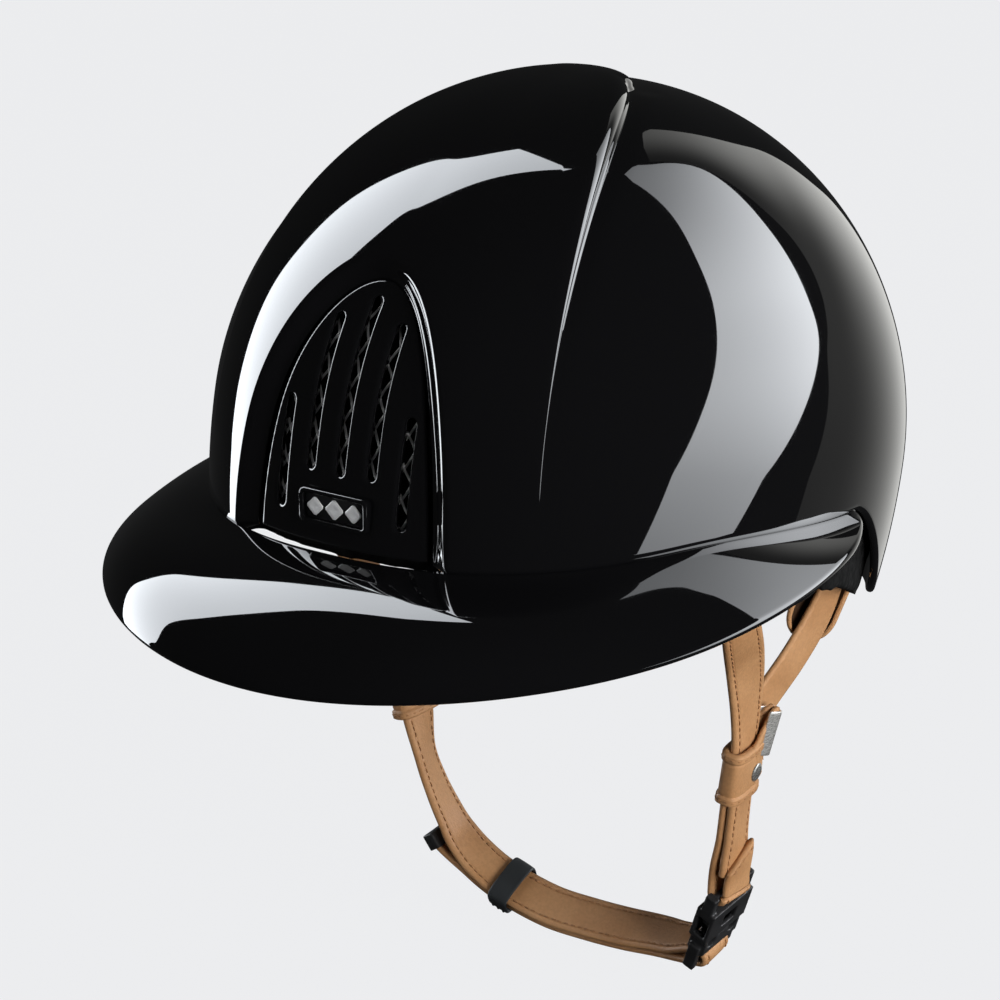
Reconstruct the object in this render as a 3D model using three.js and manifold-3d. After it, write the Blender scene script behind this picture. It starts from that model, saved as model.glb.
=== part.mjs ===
// An equestrian riding helmet with a wide brim and a leather Y-harness, as an assembly of separate solids.
// Millimetres, +Z up. The wearer faces -Y and the wearer's left is +X.
// The origin is the centre of the head cavity.
import * as THREE from "three";
import { mergeVertices } from "three/addons/utils/BufferGeometryUtils.js";
import Module from "manifold-3d";

const wasm = await Module();
wasm.setup();

// ---------------------------------------------------------------- driving dimensions
const HALF_WIDTH = 102; // outer shell, ear to ear
const FRONT_REACH = 134.7;
const REAR_REACH = 112.9;
const CROWN_HEIGHT = 117.3;
const LOWER_DEPTH = 175; // semi-axis of the part below the widest line
const PLAN_POWER = 2.38; // superellipse exponent of the horizontal section
const TILT = THREE.MathUtils.degToRad(14.1); // the long axis rises towards the back

const SHELL = 3; // wall of the outer shell
const FOAM_GAP = 1.8;
const FOAM = 17.6; // impact foam
const PAD_GAP = 1.3;
const PAD = 6; // comfort padding

const CREST_RISE = 4.8; // step from the raised front half down to the rear half, at the crown
const CREST_START = [12, 20]; // heights between which the step begins
const CREST_SWELL = [35, 118]; // heights between which it grows from a tenth to its full size
const CREST_DIP = 0.8; // hollow just behind the step
const CREST_WALL = 0.012; // how far back the foot of the step lies, in disc units

const RECESS = 4.5; // depth of the front grille below the shell
const GRILLE = 2.4;
const SLOT_WIDTH = 3.8;
const SLOTS = [
  // x, lowest z, highest z
  [-23.7, 2, 37],
  [-12, 16, 63],
  [0, 15.5, 69],
  [12, 16, 63],
  [23.7, 2, 37],
];
const BADGE = { width: 27, height: 11.5, z: 5.2, seat: -129.9, front: -133.2 };

// Mesh density
const HOOP_STEPS = 12; // from the midline to the lower edge
const FRONT_ROWS = 5;
const REAR_ROWS = 11;
const GRILLE_STEPS = 7;

const BRIM_END = 98; // degrees round from the front where the brim runs out
const BRIM_THICK = 3.4;
const BRIM_RADIUS = [58.41, 158.47, -62.72, 35.91, -9.7]; // cosine series of the rim, seen from above
const BRIM_HEIGHT = [-13.98, -22.56, 1.8, -2.01, -0.77]; // cosine series of the rim's height

const STRAP = { width: 15, thick: 2.6 };
const SWING = { y: -1.8, z: -130 }; // axis along X on which the chin strap swings below the two dividers
const KNUCKLE = { inner: 7.6, outer: 8.1 };

// ---------------------------------------------------------------- small helpers
const V = (x, y, z) => new THREE.Vector3(x, y, z);
const rad = THREE.MathUtils.degToRad;
const { lerp, smoothstep } = THREE.MathUtils;
const root = new THREE.Group();

const LOOKS = {
  lacquer: { color: 0x08080a, roughness: 0.05, metalness: 0 },
  foam: { color: 0x151516, roughness: 0.9, metalness: 0 },
  padding: { color: 0x1b1b1c, roughness: 0.95, metalness: 0 },
  leather: { color: 0xa87544, roughness: 0.55, metalness: 0 },
  plastic: { color: 0x1c1d1d, roughness: 0.45, metalness: 0 },
  rubber: { color: 0x26282a, roughness: 0.8, metalness: 0 },
  steel: { color: 0xb4b4ae, roughness: 0.25, metalness: 1 },
};

function add(name, geometry, look, parent = root) {
  const mesh = new THREE.Mesh(geometry, new THREE.MeshStandardMaterial(LOOKS[look]));
  mesh.name = name;
  parent.add(mesh);
  return mesh;
}

function solid(geometry) {
  const bare = new THREE.BufferGeometry();
  const source = geometry.index ? geometry.toNonIndexed() : geometry;
  bare.setAttribute("position", source.getAttribute("position"));
  const merged = mergeVertices(bare, 1e-4);
  return new wasm.Manifold(
    new wasm.Mesh({
      numProp: 3,
      vertProperties: merged.attributes.position.array,
      triVerts: new Uint32Array(merged.index.array),
    }),
  );
}

function geometryOf(manifold) {
  const mesh = manifold.getMesh();
  const geometry = new THREE.BufferGeometry();
  geometry.setAttribute("position", new THREE.BufferAttribute(mesh.vertProperties, 3));
  geometry.setIndex(new THREE.BufferAttribute(mesh.triVerts, 1));
  return geometry;
}

const cut = (geometry, ...tools) =>
  geometryOf(tools.reduce((whole, tool) => whole.subtract(solid(tool)), solid(geometry)));
const join = (geometry, ...others) =>
  geometryOf(others.reduce((whole, other) => whole.add(solid(other)), solid(geometry)));
const keep = (geometry, tool) => geometryOf(solid(geometry).intersect(solid(tool)));
const mirrored = (geometry) => geometryOf(solid(geometry).mirror([1, 0, 0]));

function box(w, d, h, x, y, z) {
  return new THREE.BoxGeometry(w, d, h).translate(x, y, z);
}

const quad = (a, b, c, d) => [a, b, c, a, c, d];

function closed(triangles) {
  const geometry = new THREE.BufferGeometry().setFromPoints(triangles);
  if (solid(geometry).volume() > 0) return geometry;
  const swapped = [];
  for (let i = 0; i < triangles.length; i += 3) swapped.push(triangles[i], triangles[i + 2], triangles[i + 1]);
  return new THREE.BufferGeometry().setFromPoints(swapped);
}

// A closed tube through rings of equal length, with a flat or pinched ring at each end.
function tube(rings) {
  const n = rings[0].length;
  const triangles = [];
  for (let i = 0; i + 1 < rings.length; i++) {
    for (let j = 0; j < n; j++) {
      const k = (j + 1) % n;
      triangles.push(...quad(rings[i][j], rings[i + 1][j], rings[i + 1][k], rings[i][k]));
    }
  }
  const last = rings.length - 1;
  for (let j = 1; j + 1 < n; j++) {
    triangles.push(rings[0][0], rings[0][j], rings[0][j + 1]);
    triangles.push(rings[last][0], rings[last][j + 1], rings[last][j]);
  }
  return closed(triangles);
}

// A sheet with thickness: two grids of the same size, joined along their four borders.
function slab(outer, inner) {
  const rows = outer.length - 1;
  const columns = outer[0].length - 1;
  const triangles = [];
  for (let i = 0; i < rows; i++) {
    for (let j = 0; j < columns; j++) {
      triangles.push(...quad(outer[i][j], outer[i][j + 1], outer[i + 1][j + 1], outer[i + 1][j]));
      triangles.push(...quad(inner[i][j], inner[i + 1][j], inner[i + 1][j + 1], inner[i][j + 1]));
    }
    triangles.push(...quad(outer[i][0], outer[i + 1][0], inner[i + 1][0], inner[i][0]));
    triangles.push(...quad(outer[i][columns], inner[i][columns], inner[i + 1][columns], outer[i + 1][columns]));
  }
  for (let j = 0; j < columns; j++) {
    triangles.push(...quad(outer[0][j], inner[0][j], inner[0][j + 1], outer[0][j + 1]));
    triangles.push(...quad(outer[rows][j], outer[rows][j + 1], inner[rows][j + 1], inner[rows][j]));
  }
  return closed(triangles);
}

// ---------------------------------------------------------------- the head shape
// Distance from the origin to the outer shell in a unit direction: a superellipsoid tilted about X.
function shellReach(u) {
  const y = u.y * Math.cos(TILT) - u.z * Math.sin(TILT);
  const z = u.y * Math.sin(TILT) + u.z * Math.cos(TILT);
  const across = Math.abs(u.x / HALF_WIDTH) ** PLAN_POWER;
  const along = Math.abs(y / (y < 0 ? FRONT_REACH : REAR_REACH)) ** PLAN_POWER;
  const up = (z / (z > 0 ? CROWN_HEIGHT : LOWER_DEPTH)) ** 2;
  return 1 / Math.sqrt((across + along) ** (2 / PLAN_POWER) + up);
}

// Unit direction at `turn` degrees round from the front towards the wearer's left, `rise` degrees up.
function direction(turn, rise) {
  const level = Math.cos(rad(rise));
  return V(level * Math.sin(rad(turn)), -level * Math.cos(rad(turn)), Math.sin(rad(rise)));
}

function onShell(u, offset = 0) {
  return u.clone().multiplyScalar(shellReach(u) + offset);
}

const ramp = (x, x0, x1, y0, y1) => lerp(y0, y1, smoothstep(x, x0, x1));

// Rise of the outer shell's lower edge: level under the brim, an arch at the ear, low at the nape.
function shellEdge(turn) {
  const t = Math.abs(turn);
  return t < 100 ? ramp(t, 50, 100, -3.1, -8) : ramp(t, 98, 126, -8, -30.5);
}

// Rise of the foam's lower edge, which comes down further over the temples.
function foamEdge(turn) {
  const t = Math.abs(turn);
  return t < 90 ? ramp(t, 30, 72, -5.5, -25) : ramp(t, 95, 125, -25, -32.5);
}

// The shell is laid out on a unit disc: crown at the centre, lower edge on the circle, front at (0, -1).
function fromDisc(p, edge = shellEdge) {
  const turn = THREE.MathUtils.radToDeg(Math.atan2(p.x, -p.y));
  return direction(turn, 90 - p.length() * (90 - edge(turn)));
}

const P2 = (x, y) => new THREE.Vector2(x, y);
const onCircle = (turn) => P2(Math.sin(rad(turn)), -Math.cos(rad(turn)));

// Half hoops over the shell, from the midline to the lower edge: three Bezier points and the turn at the edge.
const HOOPS = {
  grille: { points: [P2(0, -0.592), P2(0.085, -0.592), P2(0.19, -0.74)], turn: 14.4 },
  arch: { points: [P2(0, -0.557), P2(0.1, -0.557), P2(0.24, -0.72)], turn: 18.3 },
  crest: { points: [P2(0, 0.065), P2(0.181, 0.065), P2(0.333, -0.608)], turn: 30 },
  nape: { points: [P2(0, 1), P2(0.3255, 1), P2(0.632, 0.841)], turn: 125 },
};

function hoopPoint(from, to, mix, along) {
  const [a, b, c] = from.points.map((p, i) => p.clone().lerp(to.points[i], mix));
  const end = onCircle(lerp(from.turn, to.turn, mix));
  const p = new THREE.CubicBezierCurve(a, b, c, end).getPoint(Math.abs(along));
  if (to === HOOPS.nape && mix === 1) p.normalize();
  return along < 0 ? P2(-p.x, p.y) : p;
}

// A row of unit directions from the wearer's right edge, over the top, to the left edge.
function hoop(from, to, mix, halfSteps) {
  const row = [];
  for (let i = -halfSteps; i <= halfSteps; i++) {
    row.push(fromDisc(hoopPoint(from, to, mix, i / halfSteps)));
  }
  return row;
}

function crestShare(u) {
  const { z } = onShell(u);
  return 0.1 * smoothstep(z, ...CREST_START) + 0.9 * smoothstep(z, ...CREST_SWELL);
}

// ---------------------------------------------------------------- hard parts of the helmet
function outerShell() {
  const outer = [];
  const inner = [];
  const addRow = (directions, rise, depth) => {
    outer.push(directions.map((u) => onShell(u, rise(u))));
    inner.push(directions.map((u) => onShell(u, -depth)));
  };
  addRow(hoop(HOOPS.grille, HOOPS.arch, 0.3, HOOP_STEPS), () => -RECESS, RECESS + 2);
  addRow(hoop(HOOPS.grille, HOOPS.arch, 0.75, HOOP_STEPS), () => -RECESS * 0.4, RECESS + 1.2);
  for (let i = 0; i <= FRONT_ROWS; i++) {
    const mix = i / FRONT_ROWS;
    const rise = (u) => CREST_RISE * crestShare(u) * mix ** 2.5;
    addRow(hoop(HOOPS.arch, HOOPS.crest, mix, HOOP_STEPS), rise, SHELL);
  }
  for (let i = 0; i <= REAR_ROWS; i++) {
    const dip = (u) => (i === 0 ? -CREST_DIP * crestShare(u) : 0);
    const mix = lerp(CREST_WALL, 1, i / REAR_ROWS);
    addRow(hoop(HOOPS.crest, HOOPS.nape, mix, HOOP_STEPS), dip, SHELL);
  }
  return slab(outer, inner);
}

// A bowl between two offsets from the shell, from its crown down to an edge.
function bowl(outerOffset, innerOffset, edge, columns, rows) {
  const ring = (offset, i) =>
    Array.from({ length: columns }, (_, j) => {
      const turn = (360 * j) / columns - 180;
      return onShell(direction(turn, lerp(edge(turn), 90, i / rows)), offset);
    });
  const rings = [];
  for (let i = rows; i >= 0; i--) rings.push(ring(outerOffset, i));
  for (let i = 0; i <= rows; i++) rings.push(ring(innerOffset, i));
  return tube(rings);
}

// A curved panel between two offsets from the shell, over a range of turn and a range of rise.
// The lower rise may follow an edge. Its inner face is smaller all round by `inset` degrees.
function panel(outerOffset, innerOffset, turns, [low, high], columns, rows, inset = 0) {
  const bottom = (turn) => (typeof low === "function" ? low(turn) : low);
  const grid = (offset, trim) =>
    Array.from({ length: columns + 1 }, (_, j) => {
      const turn = lerp(turns[0] + trim, turns[1] - trim, j / columns);
      return Array.from({ length: rows + 1 }, (_, i) =>
        onShell(direction(turn, lerp(bottom(turn) + trim, high - trim, i / rows)), offset),
      );
    });
  return slab(grid(outerOffset, 0), grid(innerOffset, inset));
}

const cosineSum = (series, turn) => series.reduce((sum, c, k) => sum + c * Math.cos(k * rad(turn)), 0);

// The brim's upper profile at one turn: nearly level at the shell, then steeper and steeper to the rim.
function brimProfile(turn) {
  const joint = onShell(direction(turn, shellEdge(turn)));
  const inner = Math.hypot(joint.x, joint.y) - 0.6;
  const outer = Math.max(cosineSum(BRIM_RADIUS, turn), inner + 0.5);
  const top = joint.z - 0.5;
  const rim = Math.min(cosineSum(BRIM_HEIGHT, turn), top - 1);
  const fade = smoothstep(Math.abs(turn), BRIM_END - 25, BRIM_END);
  const reach = outer - inner;
  const fall = top - rim;
  return new THREE.CubicBezierCurve(
    P2(inner, top),
    P2(inner + 0.33 * reach, top - lerp(0.08, 0.25, fade) * fall),
    P2(inner + 0.67 * reach, top - lerp(0.33, 0.55, fade) * fall),
    P2(outer, rim),
  );
}

function brim() {
  const columns = 44;
  const rows = 6;
  const rings = [];
  for (let j = 0; j <= columns; j++) {
    const turn = lerp(-BRIM_END, BRIM_END, j / columns);
    const thick = BRIM_THICK * lerp(1, 0.5, smoothstep(Math.abs(turn), BRIM_END - 12, BRIM_END));
    const profile = brimProfile(turn);
    const point = (share, drop, beyond = 0) => {
      const p = profile.getPoint(share);
      const slope = profile.getTangent(share);
      const r = p.x + slope.y * drop + slope.x * beyond;
      return V(r * Math.sin(rad(turn)), -r * Math.cos(rad(turn)), p.y - slope.x * drop + slope.y * beyond);
    };
    const ring = [];
    for (let i = 0; i <= rows; i++) ring.push(point(i / rows, 0));
    ring.push(point(1, thick / 2, thick / 3));
    for (let i = rows; i >= 0; i--) ring.push(point(i / rows, thick));
    rings.push(ring);
  }
  return tube(rings);
}

// A prism along Y with the grille's outline, grown all round.
function grillePrism(growth) {
  const shape = new THREE.Shape();
  for (let i = -GRILLE_STEPS; i <= GRILLE_STEPS; i++) {
    const p = onShell(fromDisc(hoopPoint(HOOPS.grille, HOOPS.grille, 0, i / GRILLE_STEPS)));
    const out = P2(p.x, p.z - 20).setLength(growth);
    if (i === -GRILLE_STEPS) shape.moveTo(p.x + out.x, -30);
    shape.lineTo(p.x + out.x, p.z + out.y);
    if (i === GRILLE_STEPS) shape.lineTo(p.x + out.x, -30);
  }
  const options = { depth: 90, bevelEnabled: false };
  return new THREE.ExtrudeGeometry(shape, options).rotateX(Math.PI / 2).translate(0, -70, 0);
}

function grillePanel(outerOffset, innerOffset, growth, low, columns = 10, rows = 7) {
  const sheet = panel(outerOffset, innerOffset, [-23, 23], [low, 43], columns, rows);
  return keep(sheet, grillePrism(growth));
}

function slotCutter([x, low, high]) {
  const r = SLOT_WIDTH / 2;
  const shape = new THREE.Shape();
  shape.absarc(x, low + r, r, Math.PI, 2 * Math.PI);
  shape.absarc(x, high - r, r, 0, Math.PI);
  const options = { depth: 60, bevelEnabled: false, curveSegments: 4 };
  return new THREE.ExtrudeGeometry(shape, options).rotateX(Math.PI / 2).translate(0, -90, 0);
}

// A block with rounded corners, standing in the XZ plane and centred on the origin, with an optional hole.
function block(width, height, depth, corner, hole) {
  const outline = (w, h, c, path) => {
    path.absarc(w / 2 - c, h / 2 - c, c, 0, Math.PI / 2);
    path.absarc(c - w / 2, h / 2 - c, c, Math.PI / 2, Math.PI);
    path.absarc(c - w / 2, c - h / 2, c, Math.PI, 1.5 * Math.PI);
    path.absarc(w / 2 - c, c - h / 2, c, 1.5 * Math.PI, 2 * Math.PI);
    return path;
  };
  const shape = outline(width, height, corner, new THREE.Shape());
  if (hole) shape.holes.push(outline(hole[0], hole[1], corner / 2, new THREE.Path()));
  const options = { depth, bevelEnabled: false, curveSegments: 2 };
  return new THREE.ExtrudeGeometry(shape, options).translate(0, 0, -depth / 2).rotateX(Math.PI / 2);
}

const badgePiece = (width, height, depth, corner, y, hole) =>
  block(width, height, depth, corner, hole).translate(0, y, BADGE.z);

function frontGrille() {
  const seat = badgePiece(BADGE.width + 0.8, BADGE.height + 0.8, 20, 1.6, BADGE.seat - 10);
  return cut(grillePanel(-RECESS, -RECESS - GRILLE, -2.3, -2.4), seat, ...SLOTS.map(slotCutter));
}

// ---------------------------------------------------------------- straps
// A strap is a list of stations [x, y, z, wx, wy, wz]: a point, and the direction of the width there.
function strapFrame(stations, t) {
  const curve = (k) =>
    new THREE.CatmullRomCurve3(stations.map((s) => V(s[k], s[k + 1], s[k + 2])), false, "centripetal");
  const at = curve(0).getPoint(t);
  const along = curve(0).getTangent(t);
  const side = curve(3).getPoint(t).projectOnPlane(along).normalize();
  return { at, along, side, face: side.clone().cross(along) };
}

// A flat strap over a share of its path. `lift` gives its height off the path along the face direction.
function ribbon(stations, width, thick, steps, lift = () => 0, from = 0, to = 1) {
  const rings = [];
  for (let i = 0; i <= steps; i++) {
    const t = lerp(from, to, i / steps);
    const { at, side, face } = strapFrame(stations, t);
    const corner = (a, b) =>
      at.clone().addScaledVector(side, (a * width) / 2).addScaledVector(face, lift(t) + (b * thick) / 2);
    rings.push([corner(-1, -1), corner(1, -1), corner(1, 1), corner(-1, 1)]);
  }
  return tube(rings);
}

// Places a piece drawn in a strap's own axes: X across it, Y along it, Z off its face.
function onStrap(geometry, stations, t) {
  const { at, along, side, face } = strapFrame(stations, t);
  return geometry.applyMatrix4(new THREE.Matrix4().makeBasis(side, along, face).setPosition(at));
}

// Axes of the divider's metal plate: X forwards from the tab's rear edge, Y down the plate, Z outwards.
const DIVIDER = V(73, 11, -95);
function onDivider(geometry) {
  const down = V(-0.17, -0.22, -0.96).normalize();
  const out = V(0.93, 0.3, -0.23).projectOnPlane(down).normalize();
  const axes = new THREE.Matrix4().makeBasis(down.clone().cross(out), down, out);
  return geometry.applyMatrix4(axes.setPosition(DIVIDER));
}

const sleeve = (width, thick, length, holeWidth, holeThick) =>
  block(width, thick, length, 0.8, [holeWidth, holeThick]);
const pin = (radius, length, sides = 10) =>
  new THREE.CylinderGeometry(radius, radius, length, sides).rotateX(Math.PI / 2);

// A rivet across a strap: a shank through it and a head on each face.
function rivet(radius, grip) {
  const head = (side) => pin(radius, 1).translate(0, 0, side * (grip / 2 + 0.8));
  return join(pin(1.5, grip + 0.6), head(1), head(-1));
}

// Left-hand straps; the right-hand ones are their mirror images.
const FRONT_STRAP = [
  [88, -46, -8, 0.5, 0.86, 0],
  [87.5, -38, -24, 0.42, 0.9, 0],
  [83, -25, -50, 0.32, 0.95, 0],
  [77.5, -14, -66, 0.3, 0.95, 0],
  [73.5, -7, -82, 0.3, 0.95, 0],
  [71, -4, -97, 0.3, 0.95, 0],
  [68, -2.8, -113, 0.28, 0.96, 0],
  [66, -2, -126, 0.26, 0.96, 0.02],
  [65, -1.6, -134, 0.26, 0.96, 0.04],
];
const REAR_STRAP = [
  [77, 52, -22, 0.4, -0.75, 0.5],
  [78, 47, -38, 0.3, -0.78, 0.5],
  [76.5, 41, -52, 0.12, -0.9, 0.4],
  [74, 35.5, -64, 0, -0.84, 0.52],
  [71.3, 25.5, -76, 0, -0.8, 0.58],
  [67.8, 13.5, -88, 0, -0.84, 0.53],
  [65.4, 2.5, -99, 0, -0.9, 0.4],
];
const LOOP_AT = 0.74; // shares of the straps' lengths
const FRONT_ANCHOR_AT = 0.05;
const REAR_ANCHOR_AT = 0.07;
const TAB_AT = 0.43;
const RIVET_REACH = [3.6, 1, 0]; // from the middle of the loop to its rivet, in the strap's axes

function swingCylinder(radius) {
  const across = new THREE.CylinderGeometry(radius, radius, 300, 28).rotateZ(Math.PI / 2);
  return across.translate(0, SWING.y, SWING.z);
}

function addSideStraps() {
  const loopSize = [19.4, 8.4, 19];
  const tabSize = [12, 13, 1.9];
  const plateSize = [5, 15, 4.8];
  const loopHole = [15.9, 3.6];
  const anchorHole = (stations, t) => onStrap(pin(1.9, 20), stations, t);
  const rivetHole = onStrap(pin(1.9, 20).translate(...RIVET_REACH), FRONT_STRAP, LOOP_AT);
  const below = box(60, 60, 60, 66, 0, SWING.z - 30);
  const front = cut(
    ribbon(FRONT_STRAP, STRAP.width, STRAP.thick, 22),
    anchorHole(FRONT_STRAP, FRONT_ANCHOR_AT),
    rivetHole,
    swingCylinder(KNUCKLE.outer),
    below,
  );
  const loop = cut(
    onStrap(sleeve(...loopSize, ...loopHole), FRONT_STRAP, LOOP_AT),
    rivetHole,
  );
  const [roomX, roomZ, roomY] = loopSize.map((size) => size + 0.8);
  const loopRoom = onStrap(block(roomX, roomZ, roomY, 0.8), FRONT_STRAP, LOOP_AT);
  const frontRoom = ribbon(FRONT_STRAP, STRAP.width + 0.8, STRAP.thick + 0.8, 22);
  const rear = cut(
    ribbon(REAR_STRAP, STRAP.width, STRAP.thick, 18),
    anchorHole(REAR_STRAP, REAR_ANCHOR_AT),
    loopRoom,
    frontRoom,
  );
  // The divider's tab reaches back from the loop, and a folded metal plate closes its rear edge.
  const tab = onDivider(box(...tabSize, tabSize[0] / 2 - 1.6, 0, 0));
  const throat = box(20, 40, tabSize[2] + 0.7, 8, 0, 0);
  const clamp = onDivider(cut(box(...plateSize, -0.6, 0, 0), throat));
  const hanging = cut(sleeve(20.6, 11, 16, 17.2, 7), box(17.2, 30, 6, 0, 0, 5.2));
  const pieces = {
    front_strap: [front, "leather"],
    strap_loop: [loop, "leather"],
    loop_rivet: [onStrap(rivet(3.4, loopSize[1]).translate(...RIVET_REACH), FRONT_STRAP, LOOP_AT), "steel"],
    front_anchor: [onStrap(rivet(4, STRAP.thick), FRONT_STRAP, FRONT_ANCHOR_AT), "steel"],
    rear_strap: [rear, "leather"],
    rear_anchor: [onStrap(rivet(4, STRAP.thick), REAR_STRAP, REAR_ANCHOR_AT), "steel"],
    rear_tab: [onStrap(hanging, REAR_STRAP, TAB_AT), "leather"],
    divider_tab: [cut(tab, loopRoom, frontRoom), "leather"],
    divider_clamp: [clamp, "steel"],
  };
  for (const [name, [geometry, look]] of Object.entries(pieces)) addPair(name, geometry, look);
}

// Room in the foam for the straps and their anchors, on both sides.
function strapChannels() {
  const oneSide = [
    ribbon(FRONT_STRAP, STRAP.width + 2, STRAP.thick + 2, 10, () => 0, 0, 0.5),
    ribbon(REAR_STRAP, STRAP.width + 2, STRAP.thick + 2, 10, () => 0, 0, 0.5),
    onStrap(pin(9.5, STRAP.thick + 4.6), FRONT_STRAP, FRONT_ANCHOR_AT),
    onStrap(pin(9.5, STRAP.thick + 4.6), REAR_STRAP, REAR_ANCHOR_AT),
    onStrap(block(22, 12, 34, 0.8), REAR_STRAP, TAB_AT),
  ];
  return [...oneSide, ...oneSide.map(mirrored)];
}

// ---------------------------------------------------------------- buckle
// Drawn in its own axes: X across, Y down the buckle from the upper bar, Z towards the wearer.
const BUCKLE = { half: 11, ear: 8.2, mouth: 20, thick: 7.6, bar: 1.5, lowerBar: 33.4, body: 28 };
const UPPER_BAR = V(63, 0, -153.5);
const BUCKLE_WIDE = V(0.1, 0.96, 0.25).normalize();
const BUCKLE_DOWN = V(-0.428, 0.308, -0.85).projectOnPlane(BUCKLE_WIDE).normalize();
const BUCKLE_IN = BUCKLE_WIDE.clone().cross(BUCKLE_DOWN);
const LOWER_BAR = UPPER_BAR.clone().addScaledVector(BUCKLE_DOWN, BUCKLE.lowerBar);
const ARM_PIVOT = { x: 5.6, y: 23 };
const BUCKLE_AXES = new THREE.Matrix4().makeBasis(BUCKLE_WIDE, BUCKLE_DOWN, BUCKLE_IN).setPosition(UPPER_BAR);
const onBuckle = (geometry) => geometry.applyMatrix4(BUCKLE_AXES);

// A box between two corners in buckle axes, symmetrical in Z.
const span = (x0, x1, y0, y1, depth) => box(x1 - x0, y1 - y0, depth, (x0 + x1) / 2, (y0 + y1) / 2, 0);
const bothSides = (make) => [make(1), make(-1)];
const rod = (radius, length, sides) =>
  new THREE.CylinderGeometry(radius, radius, length, sides).rotateZ(Math.PI / 2);
const barAt = (y) => rod(BUCKLE.bar, 2 * BUCKLE.half - 1, 12).translate(0, y, 0);

// The pair of ears that hold a bar, between two places along the buckle.
function barEars(from, to) {
  const { half, ear } = BUCKLE;
  return [span(ear, half, from, to, 4.4), span(-half, -ear, from, to, 4.4)];
}

function buckleSocket() {
  const { half, mouth, thick } = BUCKLE;
  const body = join(
    span(-half, half, 5, mouth, thick),
    barAt(0),
    ...barEars(-2.4, 6),
  );
  const pocket = span(-8.4, 8.4, 7.4, mouth + 1, 4.4);
  const sideWindows = span(-half - 1, half + 1, 9, 17.6, 4.4);
  const faceWindow = span(-3.4, 3.4, 9.5, 15.5, 20);
  return cut(body, pocket, sideWindows, faceWindow);
}

function bucklePlug() {
  const { half, mouth, lowerBar, body, thick } = BUCKLE;
  const top = mouth + 0.6;
  const whole = join(
    span(-half + 1.5, half - 1.5, top, body, thick - 0.6),
    span(-1.5, 1.5, 9.4, top + 1, 3.4),
    barAt(lowerBar),
    ...barEars(body - 4, lowerBar + 2.4),
  );
  const sockets = bothSides((s) => pin(2.1, 20, 16).translate(s * ARM_PIVOT.x, ARM_PIVOT.y, 0));
  const armSlots = bothSides((s) => {
    const x = s * ARM_PIVOT.x;
    return span(x - 2.2, x + 2.2, top - 1, ARM_PIVOT.y, 20);
  });
  return cut(whole, ...sockets, ...armSlots);
}

// One spring arm: a leaf from its root to a pad that fills the socket's side window.
function buckleArm(side) {
  const x = ARM_PIVOT.x;
  const arm = join(
    pin(1.7, 3.8, 16).translate(x, ARM_PIVOT.y, 0),
    span(x - 0.9, x + 0.9, 9.6, ARM_PIVOT.y, 3.8),
    span(x - 0.9, 8.8, 9.6, 13.4, 3.8),
  );
  return side > 0 ? arm : mirrored(arm);
}

// A strap's end folded round a buckle bar.
const EYE = { outer: 4.4, hole: 2 };

function strapEyeAt(y) {
  return {
    ring: onBuckle(rod(EYE.outer, 14.6, 16).translate(0, y, 0)),
    hole: onBuckle(rod(EYE.hole, 40, 16).translate(0, y, 0)),
    ears: bothSides((s) => onBuckle(span(s * 14 - 6.2, s * 14 + 6.2, y - 4, y + 4, 12))),
  };
}

// ---------------------------------------------------------------- chin strap
const SOCKET_STRAP = [
  [66.8, -2.4, -120, 0.26, 0.96, 0.02],
  [65.2, -1.7, -132, 0.24, 0.96, 0.06],
  [64, -1, -143, 0.18, 0.96, 0.15],
  [UPPER_BAR.x, UPPER_BAR.y, UPPER_BAR.z, BUCKLE_WIDE.x, BUCKLE_WIDE.y, BUCKLE_WIDE.z],
];
// From the wearer's right, under the chin, to the plug.
const CHIN_STRAP = [
  [-66.8, -2.4, -120, 0.26, -0.96, -0.02],
  [-64.8, -1.4, -134, 0.26, -0.96, -0.06],
  [-61.3, 0, -145, 0.24, -0.95, -0.16],
  [-56.7, 1, -154.5, 0.2, -0.9, -0.32],
  [-52.4, 2, -162, 0.14, -0.85, -0.48],
  [-45.2, 3, -169.5, 0.08, -0.8, -0.58],
  [-34.3, 4, -176, 0.04, -0.76, -0.65],
  [-15.5, 5, -181.3, 0, -0.75, -0.66],
  [0, 7, -183, 0, -0.76, -0.64],
  [14, 8.6, -183.5, 0, -0.78, -0.62],
  [28.5, 10.3, -183.2, -0.04, -0.84, -0.52],
  [LOWER_BAR.x, LOWER_BAR.y, LOWER_BAR.z, -BUCKLE_WIDE.x, -BUCKLE_WIDE.y, -BUCKLE_WIDE.z],
];
const CHIN_SPLIT = 14; // from the lower bar back to where the plug's own strap end begins
const LAYER_STEP = 3.1; // from the strap's centre to the centre of the layer that returns beneath it
const TAIL_AT = 0.34; // shares of the chin strap's length
const TAIL_FLARE = 4; // how far the free tail stands off
const KEEPER_AT = 0.56;

const returnLift = (t) => -LAYER_STEP - TAIL_FLARE * (1 - smoothstep(t, TAIL_AT, TAIL_AT + 0.14));

// Two half spaces parted by a plane along the plug's way out.
const chinSide = (gap) => onBuckle(box(400, 400, 400, 0, BUCKLE.lowerBar, CHIN_SPLIT + gap + 200));
const plugSide = (gap) => onBuckle(box(400, 400, 400, 0, BUCKLE.lowerBar, CHIN_SPLIT - gap - 200));

// What swings below the upper straps: everything lower than the axis, and a round end about it.
const swinging = () => join(box(400, 400, 200, 0, 0, SWING.z - 100), swingCylinder(KNUCKLE.inner));

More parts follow.
